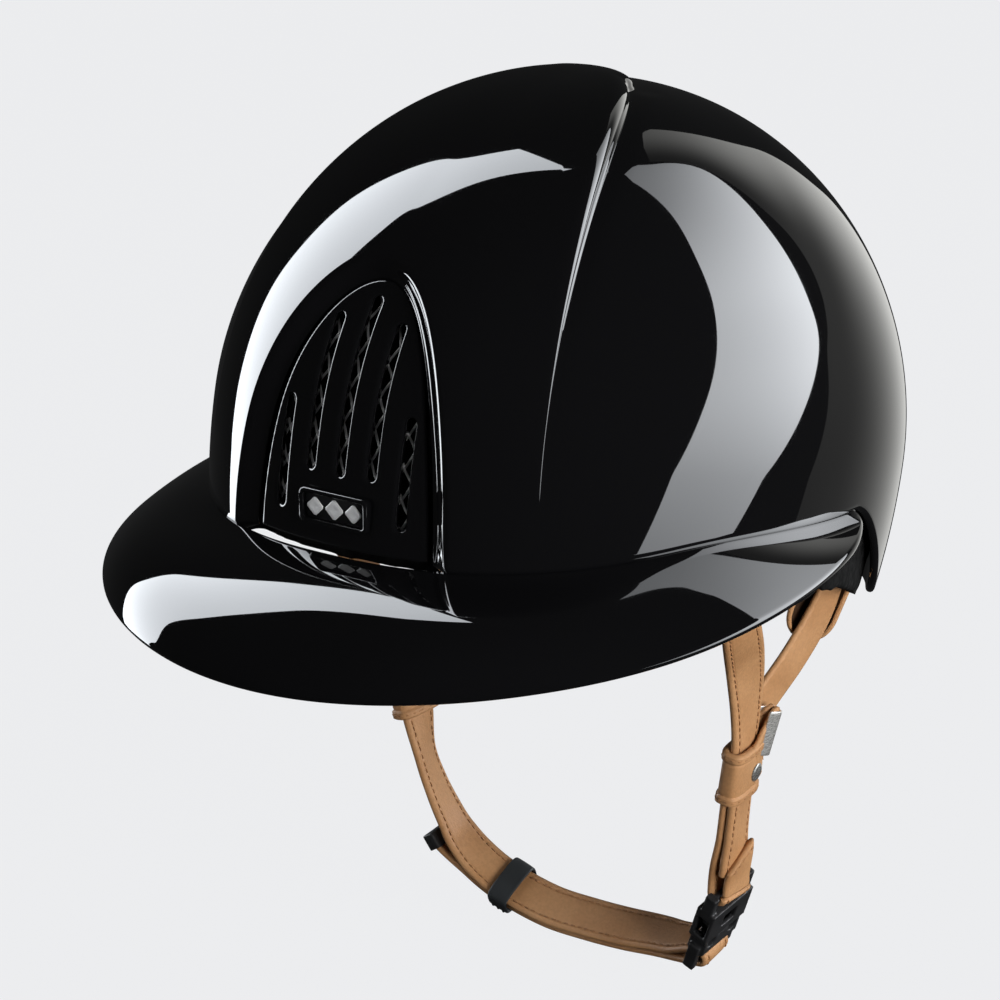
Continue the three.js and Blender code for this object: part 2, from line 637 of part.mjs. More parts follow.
function addChinStrap() {
  const chin = ribbon(CHIN_STRAP, STRAP.width, STRAP.thick, 40);
  add("chin_strap", keep(keep(chin, swinging()), chinSide(0.2)), "leather");
  const layer = ribbon(CHIN_STRAP, STRAP.width, STRAP.thick, 28, returnLift, TAIL_AT, 1);
  add("chin_strap_return", keep(layer, chinSide(0.2)), "leather");

  const plugEye = strapEyeAt(BUCKLE.lowerBar);
  const stack = ribbon(CHIN_STRAP, STRAP.width, STRAP.thick + LAYER_STEP, 8, () => -LAYER_STEP / 2, 0.9, 1);
  const plugStrap = join(keep(stack, plugSide(0.2)), plugEye.ring);
  add("plug_strap", cut(plugStrap, plugEye.hole, ...plugEye.ears), "leather");

  const socketEye = strapEyeAt(0);
  const doubled = ribbon(SOCKET_STRAP, STRAP.width, 2 * STRAP.thick, 12);
  const socketStrap = join(keep(doubled, swinging()), socketEye.ring);
  add("socket_strap", cut(socketStrap, socketEye.hole, ...socketEye.ears), "leather");
}

// A piece round both layers of the chin strap, drawn in the strap's axes.
function aroundChin(geometry, t, lift) {
  return onStrap(geometry.translate(0, 0, lift), CHIN_STRAP, t);
}

function addChinFittings() {
  const band = sleeve(19, 11.4, 8, 16, 8.8);
  const ridges = [-3, 0, 3].map((y) => sleeve(20.2, 12.6, 1.3, 16, 8.8).translate(0, y, 0));
  add("keeper", aroundChin(join(band, ...ridges), KEEPER_AT, -LAYER_STEP / 2), "rubber");
  const clamp = aroundChin(block(16.6, 5, 6, 0.8), TAIL_AT, returnLift(TAIL_AT));
  const tail = ribbon(CHIN_STRAP, STRAP.width + 0.7, STRAP.thick + 0.8, 28, returnLift, TAIL_AT - 0.006, 0.5);
  add("tail_clamp", cut(clamp, tail), "plastic");
}

function addBuckle() {
  add("buckle_socket", onBuckle(buckleSocket()), "plastic");
  add("buckle_plug", onBuckle(bucklePlug()), "plastic");
  add("buckle_arm_rear", onBuckle(buckleArm(1)), "plastic");
  add("buckle_arm_front", onBuckle(buckleArm(-1)), "plastic");
}

// ---------------------------------------------------------------- linings
// Impact foam: a crown cap and six segments round it. Turns are degrees from the front, for the left side.
const FOAM_CAP = 46; // rise at which the cap starts
const FOAM_JOINT = 0.35; // degrees left free at each side of a joint
const FOAM_SEGMENTS = {
  foam_front: [-38, 38],
  foam_temple: [38, 94],
  foam_ear: [94, 150],
  foam_rear: [150, 210],
};
const PADS = {
  // turns, rises, columns, rows
  brow_pad: [[-52, 52], [-5, 12], 14, 2],
  nape_pad: [[138, 222], [-29, -6], 12, 3],
  dome_pad_front: [[-34, 34], [38, 58], 6, 2],
  dome_pad_rear: [[146, 214], [38, 58], 6, 2],
};
const SIDE_PADS = {
  temple_pad: [[56, 78], [-14, 12], 4, 3],
  side_pad: [[84, 118], [-14, 18], 5, 4],
  dome_pad: [[56, 124], [38, 58], 6, 2],
};

// Adds a piece on the wearer's left, and its mirror image on the right.
function addPair(name, geometry, look) {
  add(`${name}_left`, geometry, look);
  add(`${name}_right`, mirrored(geometry), look);
}

function addFoam(outerOffset, innerOffset) {
  const grillePocket = grillePanel(-3, -RECESS - GRILLE - 2.6, 8, -8, 8, 6);
  const tools = [grillePocket, ...strapChannels()];
  const cap = bowl(outerOffset, innerOffset, () => FOAM_CAP, 32, 4);
  add("foam_crown", cut(cap, grillePocket), "foam");
  for (const [name, [from, to]] of Object.entries(FOAM_SEGMENTS)) {
    const turns = [from + FOAM_JOINT, to - FOAM_JOINT];
    const columns = Math.round((to - from) / 9);
    const rises = [foamEdge, FOAM_CAP - 2 * FOAM_JOINT];
    const segment = cut(panel(outerOffset, innerOffset, turns, rises, columns, 6), ...tools);
    const middle = from < 0 || to > 180;
    if (middle) add(name, segment, "foam");
    else addPair(name, segment, "foam");
  }
}

function addPads(outerOffset) {
  const innerOffset = outerOffset - PAD;
  const inset = 1.5; // degrees by which a pad's inner face is smaller
  add("crown_pad", bowl(outerOffset, innerOffset, () => 63, 20, 3), "padding");
  for (const [name, shape] of Object.entries(PADS)) {
    add(name, panel(outerOffset, innerOffset, ...shape, inset), "padding");
  }
  for (const [name, shape] of Object.entries(SIDE_PADS)) {
    addPair(name, panel(outerOffset, innerOffset, ...shape, inset), "padding");
  }
}

function addLinings() {
  const foamOuter = -SHELL - FOAM_GAP;
  const padOuter = foamOuter - FOAM - PAD_GAP;
  addFoam(foamOuter, foamOuter - FOAM);
  addPads(padOuter);
  add("nape_band", panel(padOuter, padOuter - 1.6, [132, 228], [-37, -30.5], 14, 2), "leather");
}

function addBadge() {
  const middle = (BADGE.seat + BADGE.front) / 2;
  const depth = BADGE.seat - BADGE.front;
  const { width, height } = BADGE;
  const window = [width - 3.2, height - 3.2];
  add("badge_frame", badgePiece(width, height, depth - 0.3, 1.4, middle - 0.15, window), "lacquer");
  add("badge_plate", badgePiece(window[0] - 0.6, window[1] - 0.6, depth - 1.1, 0.6, middle + 0.25), "steel");
}

// ---------------------------------------------------------------- assembly
add("outer_shell", outerShell(), "lacquer");
add("brim", brim(), "lacquer");
add("front_grille", frontGrille(), "lacquer");
add("vent_mesh", grillePanel(-RECESS - GRILLE - 0.4, -RECESS - GRILLE - 1.2, -2, -1.5), "steel");
addBadge();
addLinings();
addSideStraps();
addBuckle();
addChinStrap();
addChinFittings();

export default root;
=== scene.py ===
"""An equestrian riding helmet: the fine surfaces, leather, stitching, buckle and linings.

Lengths are millimetres in the row's own frame, unless a comment or a name says metres. +X is the wearer's
left, -Y the way the wearer faces and +Z the crown. The helmet's shape follows the CAD model's formulas.
"""
import math
import bmesh
import bpy
import numpy as np
from mathutils import Matrix, Vector


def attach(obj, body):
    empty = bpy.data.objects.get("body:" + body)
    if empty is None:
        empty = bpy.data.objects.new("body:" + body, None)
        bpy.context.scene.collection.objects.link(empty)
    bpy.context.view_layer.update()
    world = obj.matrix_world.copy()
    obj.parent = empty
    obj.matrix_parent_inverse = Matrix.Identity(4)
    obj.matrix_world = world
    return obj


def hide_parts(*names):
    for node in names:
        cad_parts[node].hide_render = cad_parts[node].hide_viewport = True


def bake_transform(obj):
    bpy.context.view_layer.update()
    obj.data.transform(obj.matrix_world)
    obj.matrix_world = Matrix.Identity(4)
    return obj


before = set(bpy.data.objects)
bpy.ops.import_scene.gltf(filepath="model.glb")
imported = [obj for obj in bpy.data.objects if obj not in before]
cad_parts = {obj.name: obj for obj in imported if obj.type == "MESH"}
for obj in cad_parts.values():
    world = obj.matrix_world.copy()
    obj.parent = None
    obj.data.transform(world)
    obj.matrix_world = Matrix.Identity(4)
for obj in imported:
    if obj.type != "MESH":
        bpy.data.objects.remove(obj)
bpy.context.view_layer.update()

MM = 0.001

# ------------------------------------------------------------------ driving dimensions, as in the CAD model
HALF_WIDTH, FRONT_REACH, REAR_REACH = 102, 134.7, 112.9
CROWN_HEIGHT, LOWER_DEPTH = 117.3, 175
PLAN_POWER = 2.38
TILT = math.radians(14.1)
SHELL, CREST_RISE, CREST_DIP = 3.0, 4.8, 0.8
CREST_START, CREST_SWELL = (12, 20), (35, 118)
RECESS, GRILLE = 4.5, 2.4
SLOT_WIDTH = 3.8
SLOTS = [(-23.7, 2, 37), (-12, 16, 63), (0, 15.5, 69), (12, 16, 63), (23.7, 2, 37)]
BADGE_Z, BADGE_SIZE = 5.2, (27, 11.5)
BADGE_SEAT, BADGE_FRONT = -129.9, -133.2
BRIM_END, BRIM_THICK = 98, 3.4
BRIM_RADIUS = [58.41, 158.47, -62.72, 35.91, -9.7]
BRIM_HEIGHT = [-13.98, -22.56, 1.8, -2.01, -0.77]
STRAP_WIDTH, STRAP_THICK = 15.0, 2.6

HOOPS = {
    "grille": ([(0, -0.592), (0.085, -0.592), (0.19, -0.74)], 14.4),
    "arch": ([(0, -0.557), (0.1, -0.557), (0.24, -0.72)], 18.3),
    "crest": ([(0, 0.065), (0.181, 0.065), (0.333, -0.608)], 30),
    "nape": ([(0, 1), (0.3255, 1), (0.632, 0.841)], 125),
}


# ------------------------------------------------------------------ sums
def smoothstep(x, low=0.0, high=1.0):
    s = np.clip((np.asarray(x, float) - low) / (high - low), 0, 1)
    return s * s * (3 - 2 * s)


def mix(a, b, share):
    return a + (b - a) * share


def norm(v):
    """The lengths of vectors, on a last axis of one."""
    return np.linalg.norm(v, axis=-1, keepdims=True)


def unit(v):
    return np.asarray(v, float) / norm(v)


def square_to(v, axis):
    """The unit vector nearest to `v` at right angles to a unit vector."""
    return unit(v - axis * np.dot(v, axis))


def bezier(ctrl, t):
    s = 1 - t
    return s**3 * ctrl[0] + 3 * s**2 * t * ctrl[1] + 3 * s * t**2 * ctrl[2] + t**3 * ctrl[3]


def whole_turn(count):
    return np.linspace(0, 2 * math.pi, count, endpoint=False)


# ------------------------------------------------------------------ the head shape
def shell_reach(u):
    """Distance from the origin to the outer shell along unit directions."""
    y = u[..., 1] * math.cos(TILT) - u[..., 2] * math.sin(TILT)
    z = u[..., 1] * math.sin(TILT) + u[..., 2] * math.cos(TILT)
    across = np.abs(u[..., 0] / HALF_WIDTH) ** PLAN_POWER
    along = np.abs(y / np.where(y < 0, FRONT_REACH, REAR_REACH)) ** PLAN_POWER
    height = mix(LOWER_DEPTH, CROWN_HEIGHT, (z > 0).astype(float))
    return 1 / np.sqrt((across + along) ** (2 / PLAN_POWER) + (z / height) ** 2)


def direction(turn, rise):
    """Unit vectors for bearings in degrees: turned from the front to the wearer's left, and raised."""
    turn, rise = np.broadcast_arrays(np.radians(turn), np.radians(rise))
    level = np.cos(rise)
    return np.stack([level * np.sin(turn), -level * np.cos(turn), np.sin(rise)], -1)


def on_shell(u, offset=0.0):
    return u * (shell_reach(u) + offset)[..., None]


def shell_edge(turn):
    """How far the shell's lower edge is raised above level, in degrees, at each bearing."""
    t = np.abs(turn)
    front = mix(-3.1, -8, smoothstep(t, 50, 100))
    return np.where(t < 100, front, mix(-8, -30.5, smoothstep(t, 98, 126)))


def from_disc(p):
    """Directions for points of the unit disc: the crown is its centre, the lower edge its circle."""
    turn = np.degrees(np.arctan2(p[..., 0], -p[..., 1]))
    reach = np.linalg.norm(p, axis=-1)
    return direction(turn, 90 - reach * (90 - shell_edge(turn)))


def hoop(start, end, share, along):
    """Disc points on a hoop between two hoops. `along` is -1 at its right end and 1 at its left end."""
    share, along = np.broadcast_arrays(np.asarray(share, float), np.asarray(along, float))
    (a, turn_a), (b, turn_b) = HOOPS[start], HOOPS[end]
    ctrl = [mix(np.array(p), np.array(q), share[..., None]) for p, q in zip(a, b)]
    turn = np.radians(mix(turn_a, turn_b, share))
    ctrl.append(np.stack([np.sin(turn), -np.cos(turn)], -1))
    point = bezier(ctrl, np.abs(along)[..., None])
    if end == "nape":
        point = np.where(share[..., None] > 0.999, point / norm(point), point)
    return point * np.stack([np.where(along < 0, -1.0, 1.0), np.ones_like(along)], -1)


def hoop_points(start, end, share, along):
    return on_shell(from_disc(hoop(start, end, share, along)))


# ------------------------------------------------------------------ meshes
def mesh_object(name, shape, material, smooth=True):
    """A mesh object from (points in millimetres, faces)."""
    points, faces = shape
    mesh = bpy.data.meshes.new(name)
    mesh.from_pydata((np.asarray(points, float) * MM).tolist(), [], faces)
    mesh.validate()
    if smooth:
        mesh.shade_smooth()
    mesh.materials.append(material)
    obj = bpy.data.objects.new(name, mesh)
    bpy.context.scene.collection.objects.link(obj)
    return obj


def outward(obj):
    """Merges doubled points and turns the faces outwards."""
    bm = bmesh.new()
    bm.from_mesh(obj.data)
    bmesh.ops.remove_doubles(bm, verts=bm.verts, dist=1e-6)
    bmesh.ops.recalc_face_normals(bm, faces=bm.faces)
    bm.to_mesh(obj.data)
    bm.free()


def settle(obj, body, replaces=()):
    """Puts a piece on a body. Given (body, body, start, end of the bend) instead, it keeps the piece where it
    stands on no body; those four are not used.
    """
    if isinstance(body, str):
        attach(obj, body)
    else:
        a, b, start, end = body
        Vector(start) * MM
        Vector(end) * MM
        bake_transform(obj)
    if replaces:
        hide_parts(*replaces)


def solid(name, shape, material, replaces=(), body="helmet"):
    obj = mesh_object(name, shape, material)
    outward(obj)
    settle(obj, body, replaces)


def grid_faces(rows, columns, start=0, wrap=False, closed=False):
    """Faces of a grid. `wrap` joins its last column to its first, and `closed` its last row too."""
    faces = []
    for i in range(rows if closed else rows - 1):
        a, b = start + i * columns, start + (i + 1) % rows * columns
        for j in range(columns if wrap or closed else columns - 1):
            k = (j + 1) % columns
            faces.append((a + j, a + k, b + k, b + j))
    return faces


def ring_mesh(grid):
    """A grid of points that closes on itself both ways."""
    return grid.reshape(-1, 3), grid_faces(*grid.shape[:2], closed=True)


def tube_mesh(rings):
    """Rings of points joined into a tube, with a flat cap at each end."""
    rows, columns = rings.shape[:2]
    caps = [tuple(range(columns))[::-1], tuple(range((rows - 1) * columns, rows * columns))]
    return rings.reshape(-1, 3), grid_faces(rows, columns, wrap=True) + caps


def rounded_sheet(outer, inner, steps=6):
    """A sheet between two grids of points, with half-round edges all the way round."""
    rows, columns = outer.shape[:2]
    count = rows * columns
    faces = grid_faces(rows, columns) + [f[::-1] for f in grid_faces(rows, columns, count)]
    border = [(0, j) for j in range(columns)] + [(i, columns - 1) for i in range(1, rows)]
    border += [(rows - 1, j) for j in range(columns - 2, -1, -1)] + [(i, 0) for i in range(rows - 2, 0, -1)]
    i, j = np.array(border).T
    above, below = outer[i, j], inner[i, j]
    thick = above - below
    out = np.cross(np.roll(above, -1, 0) - np.roll(above, 1, 0), thick)
    out = out / np.maximum(norm(out), 1e-9)
    points, rings = [outer.reshape(-1, 3), inner.reshape(-1, 3)], [i * columns + j]
    for k in range(1, steps):
        angle = math.pi * k / steps
        middle = (above + below) / 2 + thick / 2 * math.cos(angle)
        points.append(middle + out * (norm(thick) / 2 * math.sin(angle)))
        rings.append(2 * count + (k - 1) * len(i) + np.arange(len(i)))
    rings.append(count + rings[0])
    for a, b in zip(rings, rings[1:]):
        faces += np.stack([a, b, np.roll(b, -1), np.roll(a, -1)], 1).tolist()
    return np.concatenate(points), faces


def joined(shapes):
    """Several shapes as one."""
    points, faces, base = [], [], 0
    for part, part_faces in shapes:
        points.append(part)
        faces += [tuple(base + v for v in face) for face in part_faces]
        base += len(part)
    return np.concatenate(points), faces


def oval(half_x, half_z, power, count):
    """An outline between an ellipse and a rectangle: the higher its power, the squarer it is."""
    sides = ((half_x, np.cos(whole_turn(count))), (half_z, np.sin(whole_turn(count))))
    return np.stack([half * np.sign(v) * np.abs(v) ** (2 / power) for half, v in sides], -1)


def rings_between(inner, outer, rows):
    """Rings between two outlines, for rows of (place along their axis, share from inner to outer)."""
    return np.array([np.insert(inner * (1 - w) + outer * w, 1, y, axis=1) for y, w in rows])


# ------------------------------------------------------------------ materials
def set_inputs(node, **values):
    for key, value in values.items():
        node.inputs[key.replace("_", " ")].default_value = value


class Surface:
    """A new material with its shader, and short ways to add nodes to it."""

    def __init__(self, name, **values):
        self.material = bpy.data.materials.new(name)
        self.material.use_nodes = True
        self.nodes, self.links = self.material.node_tree.nodes, self.material.node_tree.links
        self.shader = self.nodes["Principled BSDF"]
        set_inputs(self.shader, **values)

    def texture(self, kind, scale, stretch=None, **values):
        """A texture's value over the object's own coordinates, which `stretch` scales."""
        node = self.nodes.new(f"ShaderNodeTex{kind}")
        set_inputs(node, Scale=scale, **values)
        place = self.nodes.new("ShaderNodeTexCoord").outputs["Object"]
        if stretch:
            mapping = self.nodes.new("ShaderNodeMapping")
            set_inputs(mapping, Scale=stretch)
            self.links.new(place, mapping.inputs["Vector"])
            place = mapping.outputs["Vector"]
        self.links.new(place, node.inputs["Vector"])
        return node.outputs["Distance" if kind == "Voronoi" else "Fac"]

    def ramp(self, source, low, high, socket=None):
        """Blends between two stops of (value, colour or grey level). It leads into a socket of the shader."""
        node = self.nodes.new("ShaderNodeValToRGB")
        self.links.new(source, node.inputs["Fac"])
        for element, (place, colour) in zip(node.color_ramp.elements, (low, high)):
            element.position = place
            element.color = (*(colour if isinstance(colour, tuple) else (colour,) * 3), 1)
        if socket:
            self.links.new(node.outputs["Color"], self.shader.inputs[socket])
        return node.outputs["Color"]

    def bump(self, height, strength, distance, before=None):
        node = self.nodes.new("ShaderNodeBump")
        set_inputs(node, Strength=strength, Distance=distance)
        self.links.new(height, node.inputs["Height"])
        if before:
            self.links.new(before, node.inputs["Normal"])
        self.links.new(node.outputs["Normal"], self.shader.inputs["Normal"])
        return node.outputs["Normal"]


def lacquer():
    """Deep black piano lacquer with faint dust and polishing haze."""
    surface = Surface("black_lacquer", Base_Color=(0.0035, 0.0035, 0.004, 1), Coat_Weight=1.0,
                      Coat_Roughness=0.005, Specular_IOR_Level=0.35)
    haze = surface.texture("Noise", 60, Detail=6)
    surface.ramp(haze, (0.35, 0.02), (0.75, 0.045), "Roughness")
    return surface.material


def leather(name, base, dark):
    """Smooth vegetable-tanned leather: mottled, with fine pores."""
    surface = Surface(name, Specular_IOR_Level=0.42)
    mottle = surface.texture("Noise", 45, Detail=7, Roughness=0.62)
    pores = surface.texture("Voronoi", 1500)
    grain = surface.texture("Noise", 900, Detail=4)
    speck = surface.nodes.new("ShaderNodeMix")
    speck.data_type, speck.blend_type = "RGBA", "MULTIPLY"
    set_inputs(speck, Factor=0.35)
    surface.links.new(surface.ramp(mottle, (0.28, dark), (0.62, base)), speck.inputs["A"])
    surface.links.new(surface.ramp(grain, (0.3, 0.62), (0.62, 1.0)), speck.inputs["B"])
    surface.links.new(speck.outputs["Result"], surface.shader.inputs["Base Color"])
    surface.ramp(mottle, (0.3, 0.42), (0.7, 0.58), "Roughness")
    first = surface.bump(pores, 0.25, 0.0002)
    surface.bump(grain, 0.3, 0.00015, first)
    return surface.material


def moulded(name, colour, roughness, grain_scale=1400, strength=0.12):
    """Moulded plastic or rubber with a fine spark-eroded grain."""
    surface = Surface(name)
    clouds = surface.texture("Noise", 120, Detail=5)
    low, high = tuple(c * 0.8 for c in colour), tuple(c * 1.25 for c in colour)
    surface.ramp(clouds, (0.3, low), (0.7, high), "Base Color")
    surface.ramp(clouds, (0.3, roughness - 0.06), (0.7, roughness + 0.06), "Roughness")
    surface.bump(surface.texture("Noise", grain_scale, Detail=2), strength, 0.00015)
    return surface.material


def metal(name, colour, roughness, metallic=0.7):
    """Plated metal with a faint brushed grain."""
    surface = Surface(name, Metallic=metallic)
    brushed = surface.texture("Noise", 500, (1, 1, 12))
    surface.ramp(brushed, (0.3, tuple(c * 0.93 for c in colour)), (0.7, colour), "Base Color")
    surface.ramp(brushed, (0.3, roughness), (0.7, roughness + 0.12), "Roughness")
    surface.bump(brushed, 0.02, 0.0001)
    return surface.material


def bead_foam():
    """Moulded bead foam: dark, matt, with the outlines of the beads just showing."""
    surface = Surface("bead_foam", Roughness=0.82, Specular_IOR_Level=0.15)
    beads = surface.texture("Voronoi", 330)
    surface.ramp(beads, (0.2, 0.009), (0.75, 0.004), "Base Color")
    surface.bump(beads, 0.5, -0.0006)
    return surface.material


def black_knit():
    """Black knitted lining: rows of small loops."""
    surface = Surface("black_knit", Roughness=0.9, Sheen_Weight=0.4)
    courses = surface.texture("Wave", 260, Distortion=1.5, Detail=1)
    wales = surface.texture("Wave", 300, Distortion=1.5, Detail=1)
    wales.node.bands_direction = "Y"
    knit = surface.nodes.new("ShaderNodeMath")
    knit.operation = "MULTIPLY"
    surface.links.new(courses, knit.inputs[0])
    surface.links.new(wales, knit.inputs[1])
    surface.ramp(knit.outputs["Value"], (0.1, 0.006), (0.8, 0.028), "Base Color")
    surface.bump(knit.outputs["Value"], 0.5, 0.0004)
    return surface.material


LACQUER = lacquer()
TAN = leather("tan_leather", (0.50, 0.27, 0.125), (0.40, 0.20, 0.085))
# A darker copy of the tan leather: painted shade, used on the inner side of the hanging loops.
PAINTED_SHADE_LEATHER = leather("painted_shade_leather", (0.075, 0.04, 0.022), (0.045, 0.024, 0.014))
THREAD = moulded("tan_thread", (0.33, 0.165, 0.072), 0.7, 3000, 0.5)
PLASTIC = moulded("black_plastic", (0.019, 0.019, 0.02), 0.4)
RUBBER = moulded("grey_rubber", (0.022, 0.025, 0.027), 0.6, 900, 0.3)
NICKEL = metal("dark_nickel", (0.38, 0.38, 0.36), 0.2)
WIRE = metal("bright_wire", (0.98, 0.98, 0.98), 0.3, 0.45)
SILVER = metal("satin_silver", (0.85, 0.86, 0.87), 0.3, 0.25)
PLATE = metal("nickel_plate", (0.72, 0.71, 0.68), 0.22)
BADGE_BLACK = moulded("badge_black", (0.006, 0.006, 0.0065), 0.3)
FOAM = bead_foam()
KNIT = black_knit()


# ------------------------------------------------------------------ outer shell
BEVEL_START = 0.32  # where the bevel round the grille begins, as a share of the way to the arch
NOSE, BEAD = 9.0, 4.4  # the front half rolls over this far before its edge, and drops this much
ROLL_ZONE, DIP_RUN = 22, 16  # the finely divided strips before and behind the crest


def lengths_between(start, end, along):
    """Surface distance between two hoops at each place along them."""
    line = hoop_points(start, end, np.linspace(0, 1, 24)[:, None], along[None, :])
    return np.linalg.norm(np.diff(line, axis=0), axis=2).sum(0)


def crest_share(height):
    """Share of the crest's full step at a height: a tenth low down, and all of it at the crown."""
    return 0.1 * smoothstep(height, *CREST_START) + 0.9 * smoothstep(height, *CREST_SWELL)


def outer_shell():
    along = np.linspace(-1, 1, 301)
    front_run = np.maximum(lengths_between("arch", "crest", along), 8)
    rear_run = np.maximum(lengths_between("crest", "nape", along), 20)
    swell = crest_share(hoop_points("arch", "crest", 1.0, along)[:, 2])
    outside, inside = [], []

    def add(start, end, share, lift=0.0, flat=0.0, depth=SHELL):
        """A row of points, raised by `flat` and by the crest's share of `lift`."""
        u = from_disc(hoop(start, end, share, along))
        outside.append(on_shell(u, flat + lift * crest_share(on_shell(u)[:, 2])))
        inside.append(on_shell(u, -depth))

    for share in np.linspace(BEVEL_START, 1, 14)[:-1]:
        rise = smoothstep((share - BEVEL_START) / (1 - BEVEL_START), -0.15, 1.02)
        add("grille", "arch", share, flat=-RECESS * (1 - rise), depth=RECESS + 1.6)
    scale = mix(0.2, 1.0, swell)
    for share in np.linspace(0, 1, 40)[:-1]:
        share = share * (1 - ROLL_ZONE * scale / front_run)
        add("arch", "crest", share, CREST_RISE * share**2.5)
    for before in (18, 14, 11, NOSE, 7.6, 6, 4.7, 3.5, 2.5, 1.6, 0.9, 0.4, 0.12, 0):
        share = 1 - before * scale / front_run
        drop = BEAD * (1 - math.sqrt(1 - (max(0.0, NOSE - before) / NOSE) ** 2))
        add("arch", "crest", share, CREST_RISE * share**2.5 - drop)
    scale = mix(0.5, 1, swell)
    for behind in (0.25, 0.5, 0.8, 1.1, 1.5, 2, 2.6, 3.4, 4.5, 6, 8, 10.5, 13, DIP_RUN):
        fall, back = smoothstep(behind, -0.3, 1.6), smoothstep(behind, 1.6, DIP_RUN)
        lift = (CREST_RISE - BEAD) * (1 - fall) - CREST_DIP * fall * (1 - back)
        add("crest", "nape", behind * scale / rear_run, lift)
    for share in np.linspace(0, 1, 90)[1:]:
        add("crest", "nape", mix(DIP_RUN * scale / rear_run, 1, share))
    sheet = rounded_sheet(np.array(outside), np.array(inside))
    solid("shell_lacquered", sheet, LACQUER, ["outer_shell"])


# ------------------------------------------------------------------ brim
# How far out and down the two middle control points of the brim's profile lie, as shares of its reach and
# fall: at the front, at the sides and at the ends.
BRIM_PROFILE = [(0.423, 0.183, 0.33), (0.165, 0.208, 0.27), (0.775, 0.92, 0.66), (0.395, 0.115, 0.55)]


def cosine_sum(series, turn):
    return sum(c * np.cos(k * np.radians(turn)) for k, c in enumerate(series))


def brim():
    turns = np.linspace(-BRIM_END, BRIM_END, 281)
    joint = on_shell(direction(turns, shell_edge(turns)))
    inner = np.hypot(joint[:, 0], joint[:, 1]) - 0.6
    outer = np.maximum(cosine_sum(BRIM_RADIUS, turns), inner + 0.5)
    top = joint[:, 2] - 0.5
    rim = np.minimum(cosine_sum(BRIM_HEIGHT, turns), top - 1)
    near, far = smoothstep(np.abs(turns), 0, 34), smoothstep(np.abs(turns), 16, 54)
    out_1, down_1, out_2, down_2 = (mix(mix(a, b, near), c, far) for a, b, c in BRIM_PROFILE)
    reach, fall = outer - inner, top - rim
    thick = BRIM_THICK * mix(1, 0.5, smoothstep(np.abs(turns), BRIM_END - 12, BRIM_END))
    ctrl = np.array([(inner, top), (inner + out_1 * reach, top - down_1 * fall),
                     (inner + out_2 * reach, top - down_2 * fall), (outer, rim)])

    def place(t, drop=0.0, beyond=0.0):
        """The profiles' points at `t`, moved below their upper face and beyond their end."""
        slope = 3 * (1 - t) ** 2 * (ctrl[1] - ctrl[0]) + 6 * (1 - t) * t * (ctrl[2] - ctrl[1])
        slope += 3 * t**2 * (ctrl[3] - ctrl[2])
        (r, z), (dr, dz) = bezier(ctrl, t), slope / np.hypot(*slope)
        r, z = r + dz * drop + dr * beyond, z - dr * drop + dz * beyond
        return np.stack([r * np.sin(np.radians(turns)), -r * np.cos(np.radians(turns)), z], -1)

    ring = [place(t) for t in np.linspace(0, 1, 46)]
    for angle in np.linspace(0, math.pi, 12)[1:-1]:
        ring.append(place(1, thick / 2 * (1 - math.cos(angle)), thick / 2 * math.sin(angle)))
    ring += [place(t, thick) for t in np.linspace(1, 0, 30)]
    solid("brim_lacquered", tube_mesh(np.stack(ring, 1)), LACQUER, ["brim"])


# ------------------------------------------------------------------ front grille and wire mesh
def grille_outline(growth):
    """The grille's outline seen from the front, as (x, z). It runs on below the brim."""
    p = hoop_points("grille", "grille", 0.0, np.linspace(-1, 1, 121))[:, [0, 2]]
    p = p + unit(p - np.array([0, 20])) * growth
    return np.concatenate([[[p[0, 0], -30]], p, [[p[-1, 0], -30]]])


def signed_distance(points, outline):
    """Distance of points to a closed outline, positive inside, with the direction towards the inside."""
    best = np.full(len(points), 1e9)
    push = np.zeros_like(points)
    inside = np.zeros(len(points), bool)
    for p, q in zip(outline, np.roll(outline, -1, 0)):
        edge = q - p
        t = np.clip(((points - p) @ edge) / max(edge @ edge, 1e-12), 0, 1)
        away = points - (p + t[:, None] * edge)
        d = np.linalg.norm(away, axis=1)
        closer = d < best
        best[closer] = d[closer]
        push[closer] = away[closer]
        crosses = (p[1] > points[:, 1]) != (q[1] > points[:, 1])
        rise = edge[1] if abs(edge[1]) > 1e-12 else 1e-12
        inside ^= crosses & (points[:, 0] < p[0] + (points[:, 1] - p[1]) * edge[0] / rise)
    sign = np.where(inside, 1.0, -1.0)
    return best * sign, push / np.maximum(norm(push), 1e-9) * sign[:, None]


def slot_distance(points, x, low, high):
    """Distance outside a round-ended upright slot, with the direction away from it."""
    half = SLOT_WIDTH / 2
    z = np.clip(points[:, 1], low + half, high - half)
    away = points - np.stack([np.full_like(z, x), z], -1)
    size = np.maximum(norm(away), 1e-9)
    return size[:, 0] - half, away / size


def panel_distance(points, outline):
    """Distance inside an outline and outside the slots, with the direction into the panel."""
    best, push = signed_distance(points, outline)
    for slot in SLOTS:
        other, away = slot_distance(points, *slot)
        push = np.where((other < best)[:, None], away, push)
        best = np.minimum(other, best)
    return best, push


def front_on_shell(xz, offset):
    """Points of the shell's front over places (x, z), at an offset: found by walking along the surface."""
    y = np.full(len(xz), -130.0)
    for _ in range(30):
        p = np.stack([xz[:, 0], y, xz[:, 1]], -1)
        size = np.linalg.norm(p, axis=1)
        y = y * np.clip((shell_reach(p / size[:, None]) + offset) / size, 0.8, 1.25)
    return np.stack([xz[:, 0], y, xz[:, 1]], -1)


